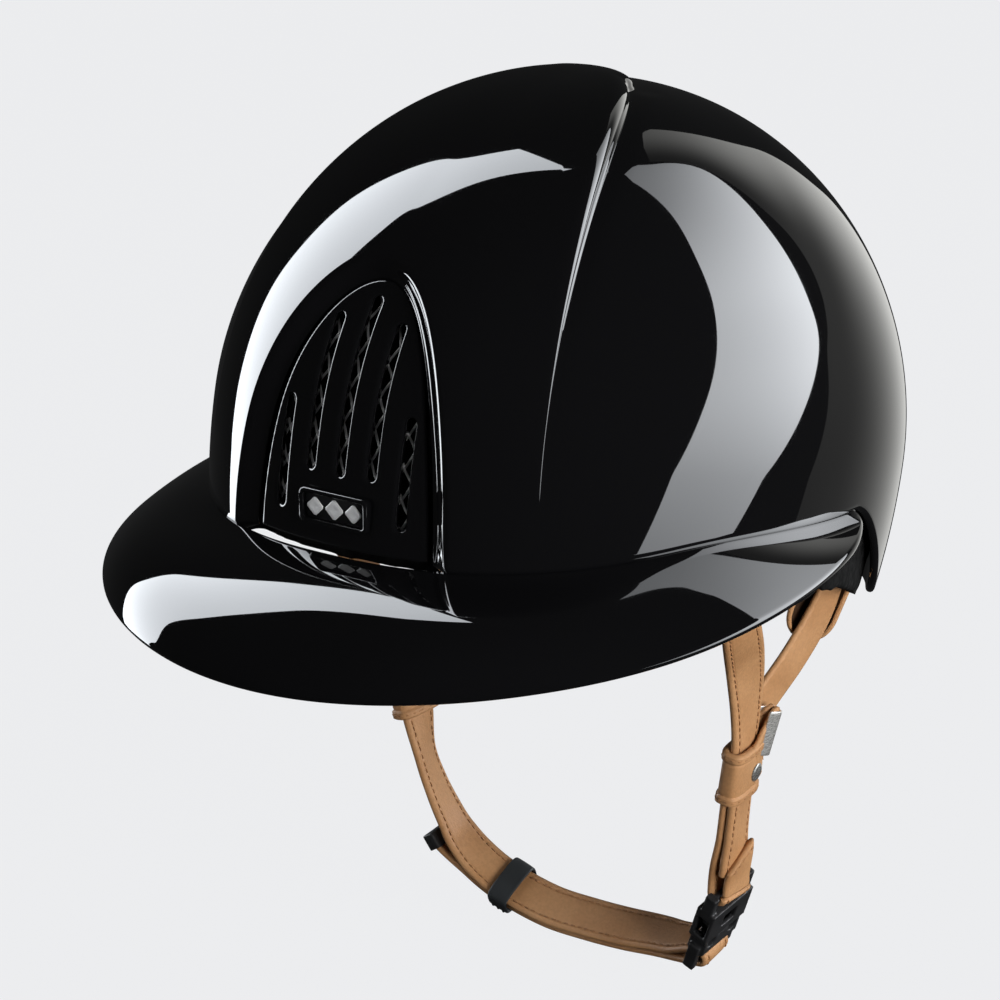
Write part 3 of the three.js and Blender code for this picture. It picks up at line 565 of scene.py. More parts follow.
def slab_faces(squares, columns, count):
    """Faces of a slab over the chosen squares of a grid: its face, its back and its walls."""
    faces, edges = [], {}
    for i, j in zip(*np.nonzero(squares)):
        a = int(i * columns + j)
        ring = (a, a + 1, a + columns + 1, a + columns)
        faces += [ring, tuple(count + v for v in ring[::-1])]
        for p, q in zip(ring, ring[1:] + ring[:1]):
            if (q, p) in edges:
                del edges[(q, p)]
            else:
                edges[(p, q)] = True
    return faces + [(q, p, count + p, count + q) for p, q in edges]


def front_grille():
    """A curved panel with round-ended slots. Its outline and its slots have rounded lips."""
    pitch, lip, bottom = 0.5, 0.9, -6.6
    outline = grille_outline(-1.6)
    low, high = outline.min(0), outline.max(0) + 2 * pitch
    gx, gz = np.meshgrid(np.arange(low[0] - pitch, high[0], pitch), np.arange(bottom, high[1], pitch))
    flat = np.stack([gx.ravel(), gz.ravel()], -1)
    kept = (panel_distance(flat, outline)[0] > -0.01).reshape(gx.shape).astype(int)
    squares = kept[:-1, :-1] + kept[:-1, 1:] + kept[1:, :-1] + kept[1:, 1:] >= 2
    faces = slab_faces(squares, gx.shape[1], len(flat))
    used = np.unique(faces)
    border = np.isin(np.arange(len(flat)), used)
    for _ in range(3):  # the corners that lie outside move onto the outline
        d, push = panel_distance(flat, outline)
        flat = np.where((border & (d < 0))[:, None], flat - push * d[:, None], flat)
    drop = lip * (1 - np.sqrt(1 - (1 - np.clip(d / lip, 0, 1)) ** 2))
    points = np.concatenate([front_on_shell(flat, -RECESS - drop), front_on_shell(flat, -RECESS - GRILLE)])
    shape = (points[used], np.searchsorted(used, faces).tolist())
    solid("grille_lacquered", shape, LACQUER, ["front_grille"])


def wire_mesh():
    """Woven wire behind the slots: two families of crossing waves."""
    radius, pitch, wave, slope = 0.46, 6.2, 0.35, 0.62
    outline, angles = grille_outline(-4), whole_turn(6)[None, :, None]
    z = np.arange(-4, 78, 1.15)
    wires = []
    for sign in (-1, 1):
        for k in range(-26, 27):
            line = np.stack([k * pitch + sign * (z - 36) * slope, z], -1)
            line = line[signed_distance(line, outline)[0] > 0]
            if len(line) < 6:
                continue
            weave = wave * np.sin(np.arange(len(line)) * math.pi / 4)
            centre = front_on_shell(line, -RECESS - GRILLE - 0.9 + weave)
            tangent = unit(np.gradient(centre, axis=0))
            side = unit(np.cross(tangent, (0, 1.0, 0)))
            other = np.cross(tangent, side)
            round_it = side[:, None] * np.cos(angles) + other[:, None] * np.sin(angles)
            wires.append(tube_mesh(centre[:, None] + radius * round_it))
    settle(mesh_object("woven_wire", joined(wires), WIRE), "helmet", ["vent_mesh"])


# ------------------------------------------------------------------ straps
# Stations of a strap: a point, and the direction of the strap's width there.
FRONT_STRAP = np.array([
    [88, -46, -8, 0.5, 0.86, 0], [87.5, -38, -24, 0.42, 0.9, 0], [83, -25, -50, 0.32, 0.95, 0],
    [77.5, -14, -66, 0.3, 0.95, 0], [73.5, -7, -82, 0.1, 0.99, 0], [71, -4, -97, -0.06, 0.99, 0],
    [68, -2.8, -113, -0.13, 0.98, 0], [66, -2, -126, -0.14, 0.98, 0.02], [65, -1.6, -134, -0.1, 0.98, 0.04],
])
REAR_STRAP = np.array([
    [77, 52, -22, 0.4, -0.75, 0.5], [78, 47, -38, 0.3, -0.78, 0.5], [76.5, 41, -52, 0.12, -0.9, 0.4],
    [74, 35.5, -64, 0, -0.84, 0.52], [71.3, 25.5, -76, 0, -0.8, 0.58], [67.8, 13.5, -88, 0, -0.84, 0.53],
    [65.4, 2.5, -99, 0, -0.9, 0.4],
])
LOOP_AT, FRONT_ANCHOR_AT, REAR_ANCHOR_AT, TAB_AT = 0.71, 0.05, 0.07, 0.43
DIVIDER_DOWN = unit((-0.17, -0.22, -0.96))
DIVIDER_OUT = square_to((0.92, -0.16, -0.126), DIVIDER_DOWN)
# The divider's metal plate: its place, and its forward, downward and outward directions.
DIVIDER = (np.array([72.4, 5.7, -96.2]), np.cross(DIVIDER_DOWN, DIVIDER_OUT), DIVIDER_DOWN, DIVIDER_OUT)
UPPER_BAR = np.array([63.0, 0, -153.5])
BUCKLE_WIDE = unit((0.1, 0.96, 0.25))
BUCKLE_DOWN = square_to((-0.428, 0.308, -0.85), BUCKLE_WIDE)
LOWER_BAR = UPPER_BAR + 33.4 * BUCKLE_DOWN
SOCKET_STRAP = np.array([
    [66.8, -2.4, -120, -0.14, 0.98, 0.02], [65.2, -1.7, -132, -0.1, 0.98, 0.06],
    [64, -1, -143, 0.04, 0.97, 0.15], [*UPPER_BAR, *BUCKLE_WIDE],
])
CHIN_STRAP = np.array([
    [-66.8, -2.4, -120, 0.26, -0.96, -0.02], [-64.8, -1.4, -134, 0.26, -0.96, -0.06],
    [-61.3, 0, -145, 0.24, -0.95, -0.16], [-56.7, 1, -154.5, 0.2, -0.9, -0.32],
    [-52.4, 2, -162, 0.14, -0.85, -0.48], [-45.2, 3, -169.5, 0.08, -0.8, -0.58],
    [-34.3, 4, -176, 0.04, -0.76, -0.65], [-15.5, 5, -181.3, 0, -0.75, -0.66], [0, 7, -183, 0, -0.76, -0.64],
    [14, 8.6, -183.5, 0, -0.78, -0.62], [28.5, 10.3, -183.2, -0.04, -0.84, -0.52],
    [*LOWER_BAR, *-BUCKLE_WIDE],
])
LAYER_STEP, TAIL_AT, TAIL_FLARE, KEEPER_AT = 3.1, 0.34, 4, 0.56
BAR_LIFT = 2.9  # from a buckle bar's middle to the middle of the strap round it
SWING_START, SWING_END = (66, -2, -121), (65, -1.5, -139)
PULL_START, PULL_END = (8, 8, -183), (34, 10, -183)
SEAM_INSET = 2.3
# A stitch's length of thread: places along it, its radius and its height over the leather.
STITCH = [(-0.95, 0.1, -0.42), (-0.82, 0.22, -0.22), (-0.5, 0.28, -0.05), (0, 0.29, 0), (0.5, 0.28, -0.05),
          (0.82, 0.22, -0.22), (0.95, 0.1, -0.42)]


def catmull(points, t):
    """A point on the centripetal Catmull-Rom curve that the CAD straps follow."""
    last = len(points) - 1
    k = min(int(last * t), last - 1)
    w = last * t - k
    p1, p2 = points[k], points[k + 1]
    p0 = points[k - 1] if k else 2 * points[0] - points[1]
    p3 = points[k + 2] if k + 2 <= last else 2 * points[-1] - points[-2]
    d0, d1, d2 = (max(np.linalg.norm(b - a), 1e-6) ** 0.5 for a, b in ((p0, p1), (p1, p2), (p2, p3)))
    m1 = ((p1 - p0) / d0 - (p2 - p0) / (d0 + d1) + (p2 - p1) / d1) * d1
    m2 = ((p2 - p1) / d1 - (p3 - p1) / (d1 + d2) + (p3 - p2) / d2) * d1
    return p1 + m1 * w + (3 * (p2 - p1) - 2 * m1 - m2) * w * w + (2 * (p1 - p2) + m1 + m2) * w**3


class Route:
    """Places along a strap: points, and unit vectors along it, across it and off its face."""

    def __init__(self, at, side):
        self.at, side = np.asarray(at, float), np.asarray(side, float)
        self.along = unit(np.gradient(self.at, axis=0))
        self.side = unit(side - self.along * (side * self.along).sum(1)[:, None])
        self.face = np.cross(self.side, self.along)

    def place(self, x, z):
        return self.at + self.side * np.reshape(x, (-1, 1)) + self.face * np.reshape(z, (-1, 1))

    def lifted(self, z):
        return Route(self.place(0, z), self.side)


def route(stations, start=0.0, end=1.0, step=0.8, lift=None):
    """The route between two shares of a strap's stations. `lift` gives its height off the face at a share."""
    length = norm(np.diff(stations[:, :3], axis=0)).sum() * abs(end - start)
    shares = np.linspace(start, end, max(int(length / step), 6))
    path = Route(*(np.array([catmull(stations[:, k : k + 3], t) for t in shares]) for k in (0, 3)))
    return path.lifted(lift(shares)) if lift else path


def chain(*routes):
    return Route(np.concatenate([r.at for r in routes]), np.concatenate([r.side for r in routes]))


def turned_back(centre, path, steps=12):
    """The half turn of a strap round a bar, going on from the end of a route."""
    angles = np.linspace(0, math.pi, steps + 2)[1:-1, None]
    at = centre + BAR_LIFT * (path.face[-1] * np.cos(angles) + path.along[-1] * np.sin(angles))
    return Route(at, np.repeat([path.side[-1]], steps, 0))


def section(width, thick, seams):
    """A strap's cross-section: slightly domed faces, pressed in along the seams, between round edges."""
    r = thick / 2
    a = np.linspace(r - width / 2, width / 2 - r, 33)
    dome = 0.2 * (1 - (2 * a / width) ** 2)
    press = 0.3 * np.exp(-(((np.abs(a) - width / 2 + SEAM_INSET) / 0.42) ** 2))
    upper, lower = (r + dome - (press if face in seams else 0) for face in (1, -1))
    edge = np.radians(np.linspace(90, -90, 9)[1:-1])
    ring = list(zip(a, upper)) + list(zip(width / 2 - r + r * np.cos(edge), r * np.sin(edge)))
    ring += list(zip(a[::-1], -lower[::-1])) + list(zip(r - width / 2 - r * np.cos(edge), -r * np.sin(edge)))
    return np.array(ring)


def strap(name, path, body, replaces=(), width=STRAP_WIDTH, thick=STRAP_THICK, seams=(1, -1), skew=0.0):
    """A strap along a route with stitching on the faces in `seams`. `skew` slants its last end."""
    ring, count = section(width, thick, seams)[None], len(path.at)
    slant = skew * smoothstep(np.arange(count), count - 18, count - 1)[:, None] * ring[..., 0]
    rings = path.at[:, None] + path.side[:, None] * ring[..., :1] + path.face[:, None] * ring[..., 1:]
    shape = tube_mesh(rings + path.along[:, None] * slant[..., None])
    solid(name, shape, TAN, replaces, body)
    if seams:
        rows = [(path, s * (width / 2 - SEAM_INSET), face * thick / 2) for face in seams for s in (1, -1)]
        stitches(name, rows, body)


def stitches(sewn_piece, rows, body="helmet", pitch=2.7):
    """Sewn stitches: short round lengths of thread whose ends dip into the leather.

    `rows` holds (route, place across it, height off it). A row below its route's face is seen from below.
    """
    parts, angles = [], whole_turn(6)[:, None]
    for path, across, height in rows:
        line = path.place(across, height)
        run = np.concatenate([[0], np.cumsum(norm(np.diff(line, axis=0)))])
        for s in np.arange(pitch / 2 + 1, run[-1] - 1, pitch):
            i = int(np.searchsorted(run, s))
            at, along, normal = line[i], path.along[i], path.face[i] * math.copysign(1, height)
            flat = np.cross(along, normal)
            parts.append(tube_mesh(np.array([
                at + along * x + normal * (z + 0.12 + r * np.sin(angles)) + flat * r * np.cos(angles)
                for x, r, z in STITCH
            ])))
    settle(mesh_object(f"{sewn_piece}_stitches", joined(parts), THREAD), body)


def mirrored(points, sign):
    return np.asarray(points) * np.array([sign, 1, 1])


def both(build, name, node):
    """Makes a piece on both sides. `build` gets the side's sign, the piece's name and what it replaces."""
    for sign, ending in ((1, "left"), (-1, "right")):
        build(sign, f"{name}_{ending}", [f"{node}_{ending}"])


def seat_at(stations, share):
    """A place on a strap: its point, and the directions across the strap, along it and off its face."""
    path = route(stations, share - 0.004, share + 0.004, step=0.1)
    m = len(path.at) // 2
    return path.at[m], path.side[m], path.along[m], path.face[m]


def in_seat(seat, points):
    """Points given across, along and off the face of a strap."""
    at, side, along, face = seat
    p = np.asarray(points, float)
    return at + p[..., :1] * side + p[..., 1:2] * along + p[..., 2:] * face


def shifted(seat, step):
    return (in_seat(seat, step), *seat[1:])


def leather_band(seat, outer, inner, half, sign, name, replaced):
    """A leather band round a strap, with raised and sewn rims at both ends."""
    wide, narrow = oval(*outer, 3.2, 72), oval(*inner, 3.2, 72)
    y = np.linspace(half - 0.7, 0.7 - half, 41)
    rim = 0.28 * smoothstep(np.abs(y), half - 3.6, half - 3.0)
    profile = list(zip(y, 1 + rim - 0.14 * np.exp(-(((np.abs(y) - half + 3.7) / 0.35) ** 2))))
    end = [(half - 0.25, 0.92), (half, 0.55), (half - 0.25, 0.12)]
    profile += [(-a, w) for a, w in end] + [(-half + 0.9, 0.0), (0, 0.0), (half - 0.9, 0.0)] + end[::-1]
    grid = mirrored(in_seat(seat, rings_between(narrow, wide, profile)), sign)
    solid(name, ring_mesh(grid), TAN, replaced)
    rows = []
    for ring in rings_between(narrow, wide, [(half - 1.9, 1.14), (1.9 - half, 1.14)]):
        at = mirrored(in_seat(seat, ring), sign)
        path = Route(at, np.repeat([mirrored(seat[2], sign)], len(at), 0))
        inward = ((at - at.mean(0)) * path.face).sum(1).mean() < 0
        rows.append((path, 0.0, -0.12 if inward else 0.12))
    stitches(name, rows)


def flap(name, corners, tangents, sign, replaced=()):
    """A sewn leather flap over four corners: rear top, rear bottom, front top, front bottom.

    `tangents` are the directions in which it leaves its rear edge and arrives at its front edge.
    """
    thick, seams, rows_of_points = 1.9, (0.36, 0.5), 30
    rt, rb, ft, fb = corners
    leave, arrive = (t * np.linalg.norm(ft + fb - rt - rb) / 2 for t in tangents)
    s, t = np.meshgrid(np.linspace(0, 1, rows_of_points), np.linspace(0, 1, 26), indexing="ij")
    s, t = s[..., None], t[..., None]
    middle = mix(mix(rt, rb, t), mix(ft, fb, t), smoothstep(s))
    middle = middle + leave * s * (1 - s) ** 2 - arrive * s**2 * (1 - s)
    out = unit(np.cross(rb - rt, np.gradient(middle, axis=0)))
    groove = sum(0.25 * np.exp(-(((s - a) / 0.035) ** 2)) for a in seams)
    sides = (middle + out * (thick / 2 - groove), middle - out * thick / 2)
    solid(name, rounded_sheet(*(mirrored(side, sign) for side in sides)), TAN, replaced)
    rows = []
    for a in seams:
        i = int(a * (rows_of_points - 1))
        line = mirrored((middle + out * (thick / 2 - 0.1))[i], sign)
        path = Route(line, np.repeat([mirrored(middle[i + 1, 12] - middle[i, 12], sign)], len(line), 0))
        outwards = path.face[0].dot(mirrored(out[i, 12], sign)) > 0
        rows.append((path, 0.0, 0.01 if outwards else -0.01))
    stitches(name, rows, pitch=2.6)


def lathed(name, seat, profile, sign, replaced):
    """A turned nickel piece about a strap's face direction: profile of (radius, height)."""
    rings = np.array([[(r * math.cos(a), r * math.sin(a), z) for a in whole_turn(40)] for r, z in profile])
    solid(name, tube_mesh(mirrored(in_seat(seat, rings), sign)), NICKEL, replaced)


def rivet_profile(radius, top):
    """A domed head with a turned ring, a shank, and a flat washer as far below the middle."""
    head = [(0.01 / radius, 0.9), (0.35, 0.87), (0.52, 0.74), (0.6, 0.78), (0.82, 0.66), (0.95, 0.42)]
    head += [(1, 0.15), (0.97, -0.05), (0.42, -0.1)]
    tail = [(0.42, 0.1), (0.97, 0.05), (1, -0.2), (0.9, -0.6), (0.01 / radius, -0.7)]
    return [(radius * r, top + z) for r, z in head] + [(radius * r, z - top) for r, z in tail]


def folded_sheet(seat, path, y, thick, sign, narrowing=1.0):
    """A sheet bent along a path across a strap and run along it, and how many faces its outer side has.

    `narrowing` scales the path at each place `y` along the strap.
    """
    fine = np.array([catmull(np.array(path, float), t) for t in np.linspace(0, 1, 64)])
    normal = unit(np.gradient(fine, axis=0)[:, ::-1] * np.array([1, -1]))
    if (normal * fine).sum() < 0:
        normal = -normal
    narrowing = narrowing * np.ones_like(y)
    low = fine[:, 1].min()

    def grid(offset):
        across, height = np.split(fine + normal * offset, 2, axis=1)
        x = across * np.where(across > 0, narrowing, 1)
        z = low + (height - low) * np.where(across < 0, narrowing, 1)
        return mirrored(in_seat(seat, np.stack([x, np.broadcast_to(y, x.shape), z], -1)), sign)

    return rounded_sheet(grid(thick / 2), grid(-thick / 2), 5), (len(fine) - 1) * (len(y) - 1)


LOOP_SEAT = seat_at(FRONT_STRAP, LOOP_AT)


def make_loop(sign, name, replaced):
    leather_band(LOOP_SEAT, (9.8, 4.3), (8.1, 2.2), 10, sign, name, replaced)


def make_hanging(sign, name, replaced):
    path = [(-8.7, 1.8), (-9.1, 0), (-8.4, -3.2), (-4, -4.6), (4, -5.2), (9.5, -5.2), (12.8, -3.6)]
    y = 13.5 - 22 * np.linspace(1, 0, 48) ** 1.5
    rounded_end = 1 - 0.85 * (1 - np.sqrt(1 - np.clip((y - 5) / 8.6, 0, 1) ** 2))
    shape, outer_faces = folded_sheet(seat_at(REAR_STRAP, TAB_AT), path, y, 1.9, sign, rounded_end)
    band = mesh_object(name, shape, TAN)
    # The loop's inner side takes the darker leather: painted shade for the shade inside the loop.
    band.data.materials.append(PAINTED_SHADE_LEATHER)
    for polygon in band.data.polygons[outer_faces : 2 * outer_faces]:
        polygon.material_index = 1
    outward(band)
    settle(band, "helmet", replaced)


def make_rivet(sign, name, replaced):
    at, side, along, face = shifted(LOOP_SEAT, (3.6, 1.0, 0))
    lathed(name, (at, side, -along, -face), rivet_profile(3.4, 4.3), sign, replaced)


def make_flaps(sign, name, replaced):
    tangents = (DIVIDER[1], -LOOP_SEAT[1])
    for part, z, depth in (("outer", 1.05, -3.6), ("inner", -1.05, 3.4)):
        rear = [in_seat(DIVIDER, (-2.2, y, z)) for y in (-8.4, 6.6)]
        front = [in_seat(LOOP_SEAT, (x, y, depth)) for x, y in ((0.6, -9.6), (6.4, 3.6))]
        flap(f"{name}_{part}", (*rear, *front), tangents, sign, replaced if z > 0 else ())


def make_clamp(sign, name, replaced):
    path = [(2.6, 2.55), (-2.4, 2.5), (-3.5, 1.9), (-3.8, 0), (-3.5, -1.9), (-2.4, -2.5), (2.6, -2.55)]
    shape, _ = folded_sheet(DIVIDER, path, np.linspace(-7.6, 7.6, 18), 0.8, sign)
    solid(name, shape, PLATE, replaced)


def make_rear(sign, name, replaced):
    path = route(REAR_STRAP)
    strap(name, Route(mirrored(path.at, sign), mirrored(path.side, sign) * sign), "helmet", replaced,
          seams=(), thick=2.4)


def make_anchors(sign, name, replaced):
    places = (("front", FRONT_STRAP, FRONT_ANCHOR_AT), ("rear", REAR_STRAP, REAR_ANCHOR_AT))
    for end, stations, share in places:
        seat = seat_at(stations, share)
        lathed(f"{end}_{name}", seat, rivet_profile(4, 1.3), sign, [f"{end}_{node}" for node in replaced])


def side_straps():
    both(make_loop, "divider_loop", "strap_loop")
    both(make_hanging, "hanging_loop", "rear_tab")
    both(make_rivet, "divider_rivet", "loop_rivet")
    both(make_flaps, "divider_flap", "divider_tab")
    both(make_clamp, "folded_clamp", "divider_clamp")
    both(make_rear, "rear_leather", "rear_strap")
    both(make_anchors, "anchor", "anchor")


def front_straps():
    """The left strap, doubled round the buckle's upper bar, and the right one that becomes the chin strap."""
    swing = ("helmet", "chin_harness", SWING_START, SWING_END)
    left = np.concatenate([FRONT_STRAP[:7], SOCKET_STRAP[1:]])
    down = route(left, lift=lambda t: 1.5 * smoothstep(t, 0.6, 0.7) + 1.4 * smoothstep(t, 0.75, 0.97))
    around = chain(down, turned_back(UPPER_BAR, down))
    strap("front_leather_left", around, swing, ["front_strap_left", "socket_strap"])
    # The outer layer runs from the divider to the fold, and the fold lies on it.
    strap("front_leather_left_outer", route(left, 0.62, 0.92).lifted(-1.4), swing)
    fold = route(left, 1.0, 0.86)
    count, skew = len(fold.at), 0.7
    fold = fold.lifted(BAR_LIFT + smoothstep(np.arange(count), 4, count - 1))
    strap("front_leather_left_fold", fold, swing, width=13.5, thick=2.0, seams=(), skew=skew)
    at, side, along, face = (v[-4] for v in (fold.at, fold.side, fold.along, fold.face))
    across = np.linspace(-5.8, 5.8, 30)[:, None]
    row = Route(at + side * across + along * across * skew + face * 1.05, np.repeat([along], len(across), 0))
    stitches("front_leather_left_fold", [(row, 0.0, row.face[0].dot(face) * 0.05)], swing, 2.6)

    right = np.concatenate([FRONT_STRAP[:7] * np.array([-1, 1, 1, 1, -1, -1]), CHIN_STRAP[1:]])
    mirror_swing = ("helmet", "chin_harness", *(mirrored(v, -1) for v in (SWING_START, SWING_END)))
    seam = share_near(right, catmull(CHIN_STRAP[:, :3], KEEPER_AT)) + 0.002
    strap("chin_leather_right", route(right, 0, seam), mirror_swing, ["front_strap_right"])


def share_near(stations, point):
    shares = np.linspace(0, 1, 600)
    line = np.array([catmull(stations[:, :3], t) for t in shares])
    return float(shares[np.linalg.norm(line - point, axis=1).argmin()])


def chin_straps():
    """The chin strap from the keeper on: round the buckle's lower bar and back to its free tail."""

    def below(t):
        flare = TAIL_FLARE * (1 - smoothstep(t, TAIL_AT, TAIL_AT + 0.14))
        return LAYER_STEP + flare - 0.2 * smoothstep(t, 0.93, 1)

    over = route(CHIN_STRAP, KEEPER_AT, 1, lift=lambda t: BAR_LIFT * smoothstep(t, 0.93, 1.0))
    path = chain(over, turned_back(LOWER_BAR, over), route(CHIN_STRAP, 1.0, TAIL_AT, lift=below))
    strap("chin_leather_left", path, ("chin_harness", "plug", PULL_START, PULL_END),
          ["chin_strap", "chin_strap_return", "plug_strap"])


# ------------------------------------------------------------------ pieces shaped from the CAD solids
def cad_copy(node, name, voxel):
    """A new object with a CAD node's surface. Baking rebuilds it in even squares of `voxel` metres."""
    obj = bpy.data.objects.new(name, bpy.data.objects[node].data.copy())
    bpy.context.scene.collection.objects.link(obj)
    remesh = obj.modifiers.new("remesh", "REMESH")
    remesh.mode, remesh.voxel_size = "VOXEL", voxel
    return obj


def bake(obj):
    """Replaces an object's mesh with its modified form."""
    graph = bpy.context.evaluated_depsgraph_get()
    mesh = bpy.data.meshes.new_from_object(obj.evaluated_get(graph))
    obj.modifiers.clear()
    obj.data = mesh


def dressed(obj, material, body, node):
    obj.data.materials.clear()
    obj.data.materials.append(material)
    obj.data.shade_smooth()
    settle(obj, body, [node])


def softened(node, name, voxel, rounds, material, body):
    """A CAD solid with its edges rounded off, as a moulded part has."""
    obj = cad_copy(node, name, voxel * MM)
    relax = obj.modifiers.new("smooth", "SMOOTH")
    relax.factor, relax.iterations = 0.5, rounds
    bake(obj)
    dressed(obj, material, body, node)


def buckle():
    for node, body in (("buckle_socket", "chin_harness"), ("buckle_plug", "plug"),
                       ("buckle_arm_rear", "arm_rear"), ("buckle_arm_front", "arm_front")):
        softened(node, f"{node}_moulded", 0.32, 14, PLASTIC, body)


def keeper():
    """A rubber ring round both layers of the chin strap, smooth above and ribbed below."""
    inner, outer = oval(8.1, 4.7, 3.6, 96), oval(9.1, 5.7, 3.6, 96)
    rib_pitch, half = 2.3, 4.1
    below = 0.42 * smoothstep(-outer[:, 1:], 0.5, 4.0)
    rows = []
    for y in np.linspace(3.6, -3.6, 49):
        ribs = below * max(0.0, math.cos(y * 2 * math.pi / rib_pitch)) ** 2
        swell = 0.12 * (1 - (y / half) ** 2)
        rows.append(np.insert(outer * (1 + (ribs + swell) / 8), 1, y, axis=1))
    end = [(3.95, 0.85), (half, 0.5), (3.9, 0.1), (3.4, 0.0)]
    ends = rings_between(inner, outer, [(-y, w) for y, w in end] + [(0, 0.0)] + end[::-1])
    seat = shifted(seat_at(CHIN_STRAP, KEEPER_AT), (0, 0, -LAYER_STEP / 2))
    grid = in_seat(seat, np.concatenate([rows, ends]))
    solid("keeper_ribbed", ring_mesh(grid), RUBBER, ["keeper"], "keeper_ring")


def tail_end():
    """The free end of the chin strap's return layer: a black moulded tip."""
    softened("tail_clamp", "tail_tip", 0.3, 8, PLASTIC, "chin_harness")


# ------------------------------------------------------------------ badge
def rounded_rectangle(width, height, corner):
    points = []
    for cx, cz, start in ((1, 1, 0), (-1, 1, 90), (-1, -1, 180), (1, -1, 270)):
        for angle in np.radians(np.linspace(start, start + 90, 16)):
            x = cx * (width / 2 - corner) + corner * math.cos(angle)
            points.append((x, cz * (height / 2 - corner) + corner * math.sin(angle)))
    return np.array(points)


def lozenge(half_x, half_z, corner=0.12):
    """A lozenge whose corners are cut by a share of each side."""
    corners = np.array([(half_x, 0), (0, half_z), (-half_x, 0), (0, -half_z)], float)
    t = np.linspace(corner, 1 - corner, 10)[:, None]
    return np.concatenate([a * (1 - t) + b * t for a, b in zip(corners, np.roll(corners, -1, 0))])


def stepped(outline, middle, steps):
    """A raised form over an outline: steps of (size, depth) about its middle."""
    return tube_mesh(np.array([np.insert(outline * size + middle, 1, y, axis=1) for size, y in steps]))


def badge():
    """A raised frame with a plain ornament of three lozenges on a dark plate."""
    width, height = BADGE_SIZE
    back, front, level = BADGE_SEAT - 0.1, BADGE_FRONT, BADGE_FRONT + 1.35
    outer, inner = rounded_rectangle(width, height, 2.2), rounded_rectangle(width - 3.2, height - 3.2, 1.0)
    rows = [(back, 1.0), (front + 0.7, 1.0), (front + 0.3, 0.94), (front + 0.05, 0.78), (front - 0.05, 0.5)]
    rows += [(front + 0.05, 0.22), (front + 0.3, 0.06), (front + 0.7, 0.0), (back, 0.0)]
    grid = rings_between(inner, outer, rows) + np.array([0, 0, BADGE_Z])
    solid("badge_rim", ring_mesh(grid), LACQUER, ["badge_frame"])
    steps = [(0.01, level), (0.96, level), (0.985, level + 0.06), (1, level + 0.2), (1, back), (0.01, back)]
    plate = stepped(rounded_rectangle(width - 3.5, height - 3.5, 0.8), (0, BADGE_Z), steps)
    solid("badge_plate_dark", plate, BADGE_BLACK, ["badge_plate"])
    steps = [(1, level + 0.1), (1, level - 0.35), (0.93, level - 0.5), (0.45, level - 0.55)]
    steps += [(0.3, level - 0.4), (0.01, level - 0.4)]
    lozenges = [stepped(lozenge(half_x, half_z), (x, BADGE_Z), steps)
                for x, half_x, half_z in ((-7.6, 3.5, 3.3), (0, 3.8, 3.6), (7.6, 3.5, 3.3))]
    solid("badge_lozenges", joined(lozenges), SILVER)


# ------------------------------------------------------------------ linings
PADS = ["crown_pad", "brow_pad", "nape_pad", "dome_pad_front", "dome_pad_rear"]
PADS += [f"{pad}_{end}" for pad in ("temple_pad", "side_pad", "dome_pad") for end in ("left", "right")]
FOAMS = ["foam_crown", "foam_front", "foam_rear"]
FOAMS += [f"{piece}_{end}" for piece in ("foam_temple", "foam_ear") for end in ("left", "right")]
FOAM_FACE = SHELL + 1.8 + 17.6  # from the shell's outer surface to the foam's inner face
PAD_SHRINK, PAD_SWELL = 0.97, 0.0022  # a pad's size before it swells, and how far it may swell in metres
PAD_CLEARANCE = 0.35


def linings():
    for node in FOAMS:
        softened(node, f"{node}_moulded", 1.5, 14, FOAM, "helmet")
    for node in PADS:
        pad(node)
    u = direction(np.linspace(132, 228, 120)[:, None], np.linspace(-37, -30.5, 14)[None, :])
    roll = 0.35 * (1 - ((np.arange(14) - 6.5) / 6.5) ** 2)[None, :]
    band = rounded_sheet(on_shell(u, -FOAM_FACE - 1.3 + roll), on_shell(u, -FOAM_FACE - 2.9 - roll))
    solid("nape_leather", band, TAN, ["nape_band"])


def corners_of(obj):
    return np.array([v.co for v in obj.data.vertices])


def move_corners(obj, places):
    obj.data.vertices.foreach_set("co", places.astype(np.float32).ravel())


def inflate(obj, steps=20):
    """Blows an object up by a cloth simulation, and limits how far each of its points moves."""
    rest = corners_of(obj)
    cloth = obj.modifiers.new("cloth", "CLOTH")
    cloth.settings.use_pressure = True
    cloth.settings.uniform_pressure_force = 4
    cloth.settings.effector_weights.gravity = 0
    cloth.settings.quality = 4
    cloth.point_cache.frame_start, cloth.point_cache.frame_end = 1, steps
    for step in range(1, steps + 1):
        bpy.context.scene.frame_set(step)
    bake(obj)
    moved = corners_of(obj) - rest
    move_corners(obj, rest + moved * np.minimum(1, PAD_SWELL / np.maximum(norm(moved), 1e-9)))
    bpy.context.scene.frame_set(1)


def pad(node):
    """A knitted pad over soft foam: the CAD pad blown up a little by a cloth simulation."""
    obj = cad_copy(node, f"{node}_knitted", 0.004 if node == "crown_pad" else 0.0035)
    places = corners_of(obj)
    move_corners(obj, mix(places.mean(0), places, PAD_SHRINK))
    bake(obj)
    inflate(obj)
    finer = obj.modifiers.new("finer", "SUBSURF")
    finer.levels = finer.render_levels = 1
    bake(obj)
    places = corners_of(obj) / MM
    reach, u = norm(places), unit(places)
    most = shell_reach(u)[:, None] - FOAM_FACE - PAD_CLEARANCE
    move_corners(obj, u * np.minimum(reach, most) * MM)
    dressed(obj, KNIT, "helmet", node)


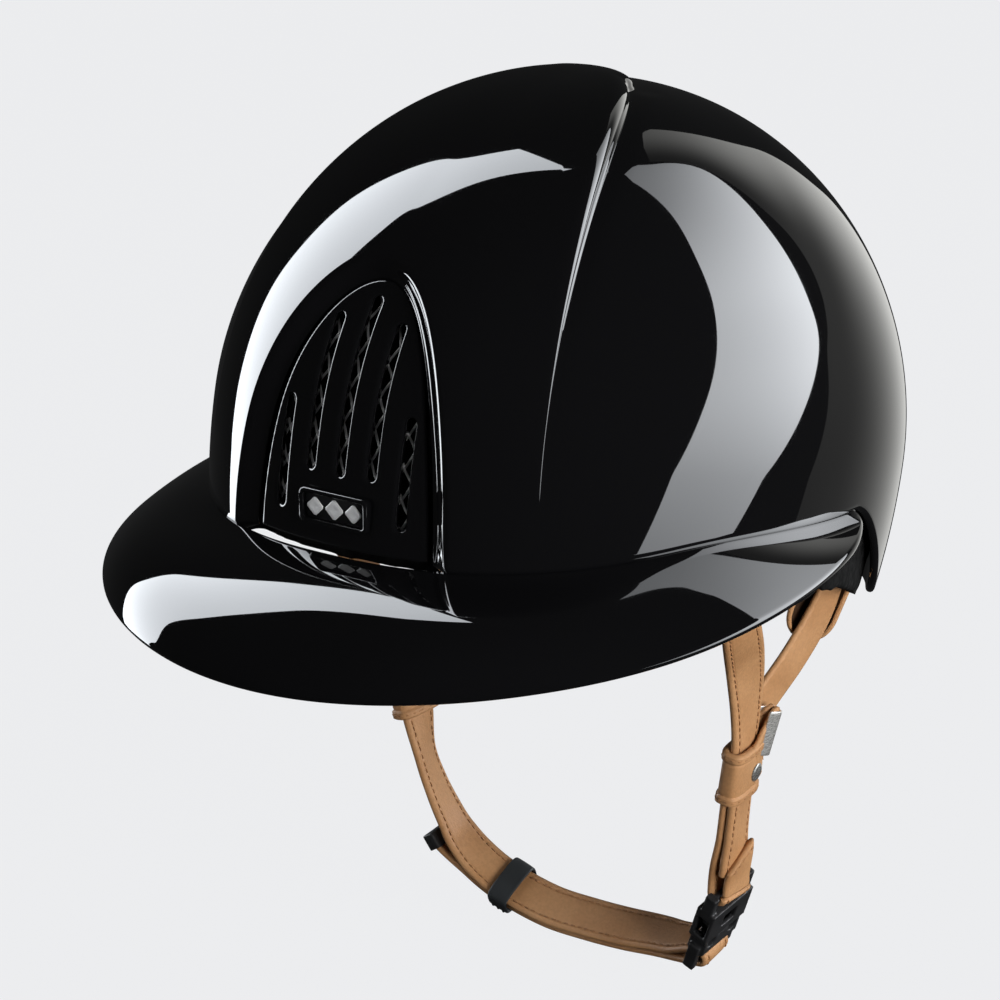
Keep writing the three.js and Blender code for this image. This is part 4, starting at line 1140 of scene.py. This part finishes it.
# ------------------------------------------------------------------ studio
def background():
    """A pale, evenly bright floor and dome. Neither lights the helmet or shows in its reflections."""
    pale = Surface("pale_floor", Base_Color=(0.02, 0.02, 0.02, 1), Roughness=1.0, Specular_IOR_Level=0.0,
                   Emission_Color=(0.832, 0.838, 0.854, 1), Emission_Strength=1.0).material
    size, height = 11000, -197
    corners = [(-size, -size, height), (size, -size, height), (size, size, height), (-size, size, height)]
    floor = mesh_object("floor", (corners, [(0, 1, 2, 3)]), pale, smooth=False)
    turns, rises = np.linspace(0, 360, 49)[:-1], np.linspace(-12, 90, 26)
    points = direction(turns[None, :], rises[:, None]) * 10500
    dome = mesh_object("dome", (points.reshape(-1, 3), grid_faces(*points.shape[:2], wrap=True)), pale)
    for obj in (floor, dome):
        obj.visible_diffuse = False
        obj.visible_glossy = False
    world = bpy.context.scene.world or bpy.data.worlds.new("studio")
    bpy.context.scene.world = world
    world.use_nodes = True
    set_inputs(world.node_tree.nodes["Background"], Color=(0.83, 0.84, 0.85, 1), Strength=0.02)
    bpy.context.scene.view_settings.view_transform = "Standard"


def area_light(name, azimuth, elevation, size, power):
    """A soft light that faces the helmet from a bearing, two metres away, and doesn't show in the lacquer."""
    light = bpy.data.lights.new(name, "AREA")
    light.shape = "RECTANGLE"
    light.size, light.size_y = size
    light.energy = power
    obj = bpy.data.objects.new(name, light)
    away = Vector(direction(azimuth, elevation))
    obj.location = away * 2.0
    obj.rotation_euler = away.to_track_quat("Z", "Y").to_euler()
    obj.visible_glossy = False
    bpy.context.scene.collection.objects.link(obj)


def smooth_bearings(bearings, count=60):
    """Directions along a smooth line through bearings (azimuth, elevation)."""
    u = direction(*np.array(bearings, float).T)
    s = np.linspace(0, len(u) - 1, count)
    k = np.minimum(s.astype(int), len(u) - 2)
    f = (s - k)[:, None]
    p0, p1 = u[np.maximum(k - 1, 0)], u[k]
    p2, p3 = u[k + 1], u[np.minimum(k + 2, len(u) - 1)]
    v = 2 * p1 + (p2 - p0) * f + (2 * p0 - 5 * p1 + 4 * p2 - p3) * f**2 + (3 * p1 - p0 - 3 * p2 + p3) * f**3
    return unit(v)


def card_material(name, strength, colour):
    """Light whose strength varies over a card with its `level` values."""
    surface = Surface(name)
    surface.nodes.clear()
    shine = surface.nodes.new("ShaderNodeEmission")
    set_inputs(shine, Color=(*colour, 1))
    level = surface.nodes.new("ShaderNodeAttribute")
    level.attribute_name = "level"
    times = surface.nodes.new("ShaderNodeMath")
    times.operation = "MULTIPLY"
    times.inputs[1].default_value = strength
    out = surface.nodes.new("ShaderNodeOutputMaterial")
    surface.links.new(level.outputs["Fac"], times.inputs[0])
    surface.links.new(times.outputs["Value"], shine.inputs["Strength"])
    surface.links.new(shine.outputs["Emission"], out.inputs["Surface"])
    return surface.material


def soft_box(name, edges, strength, colour, fade):
    """A glowing card seen in the lacquer. `edges` lists bearings of its two long edges.

    `fade` gives its level at a share along the edges and a share across, from the first edge to the second.
    """
    first, second = (smooth_bearings(edge) for edge in edges)
    across = np.linspace(0, 1, 25)
    grid = unit(mix(first[:, None], second[:, None], across[None, :, None])) * 2600
    shape = (grid.reshape(-1, 3), grid_faces(*grid.shape[:2]))
    obj = mesh_object(name, shape, card_material(name, strength, colour))
    levels = fade(*np.meshgrid(np.linspace(0, 1, len(grid)), across, indexing="ij"))
    attribute = obj.data.attributes.new("level", "FLOAT", "POINT")
    attribute.data.foreach_set("value", levels.ravel().astype(np.float32))
    obj.visible_camera = False
    obj.visible_diffuse = False


def studio():
    background()
    left = (
        [(-88, -16), (-88, 0), (-90, 14), (-92, 26), (-98, 37), (-105, 46), (-114, 52), (-126, 57)],
        [(-74, -16), (-70, -2), (-66, 9), (-66, 23), (-67, 38), (-74, 49), (-89, 56.5), (-106, 63.5),
         (-134, 71)],
    )
    right = (
        [(179, 63), (148, 49), (134, 37), (126, 25), (118, 14), (107, 2), (96, -10), (87, -18)],
        [(172, 51), (172, 35), (161, 22), (154, 12), (149, 4), (140, -5), (129, -14), (116, -22)],
    )
    rim = (
        [(174, 49), (172, 34), (166, 22.5), (162, 16), (153, 6), (149, 1), (145, -8), (141, -17), (138, -24)],
        [(193, 43), (189, 33), (188, 24), (189, 14), (191, 6), (195, -1), (198, -8), (199, -16), (199, -24)],
    )

    def left_fade(s, t):
        return 1 - 0.25 * smoothstep(s, 0.6, 1)

    def right_fade(s, t):
        return 0.2 + 0.72 * smoothstep(s, 0.0, 0.45) - 0.5 * smoothstep(s, 0.6, 1)

    def rim_fade(s, t):
        return (0.35 + 0.6 * smoothstep(s, 0, 0.5) - 0.3 * smoothstep(s, 0.6, 1)) * mix(
            0.16, 1, smoothstep(t, 0.05, 0.85))

    soft_box("left_strip", left, 6.6, (0.91, 0.95, 1.0), left_fade)
    soft_box("right_box", right, 6.0, (0.93, 0.96, 1.0), right_fade)
    soft_box("rim_band", rim, 1.05, (0.97, 0.97, 0.94), rim_fade)
    area_light("key_right", 78, 6, (1.2, 1.6), 66)
    area_light("fill_left", -40, 15, (1.2, 1.6), 12)
    area_light("fill_top", 60, 70, (1.6, 1.6), 2)


def camera():
    """A long lens at the wearer's left front. As it sees them, its aim is below and left of the origin."""
    azimuth, elevation, metres_away = 35.27, 17.3, 1.48877
    # The focal length, and how far right of and above the frame's middle the origin lies, in frame widths.
    focal, across, above = 4.42276, 0.07759, 0.07633
    away, right = Vector(direction(azimuth, elevation)), Vector(direction(azimuth + 90, 0))
    lens = bpy.data.cameras.new("camera")
    lens.sensor_width = 36
    lens.lens = 36 * focal
    lens.clip_end = 100
    obj = bpy.data.objects.new("camera", lens)
    back = (away + right * (across / focal) + away.cross(right) * (above / focal)).normalized()
    side = (right - back * right.dot(back)).normalized()
    turn = Matrix((side, back.cross(side), back)).transposed().to_4x4()
    obj.matrix_world = Matrix.Translation(away * metres_away) @ turn
    bpy.context.scene.collection.objects.link(obj)
    bpy.context.scene.camera = obj


# ------------------------------------------------------------------ making everything
camera()
studio()
outer_shell()
brim()
front_grille()
wire_mesh()
badge()
linings()
side_straps()
front_straps()
chin_straps()
buckle()
keeper()
tail_end()
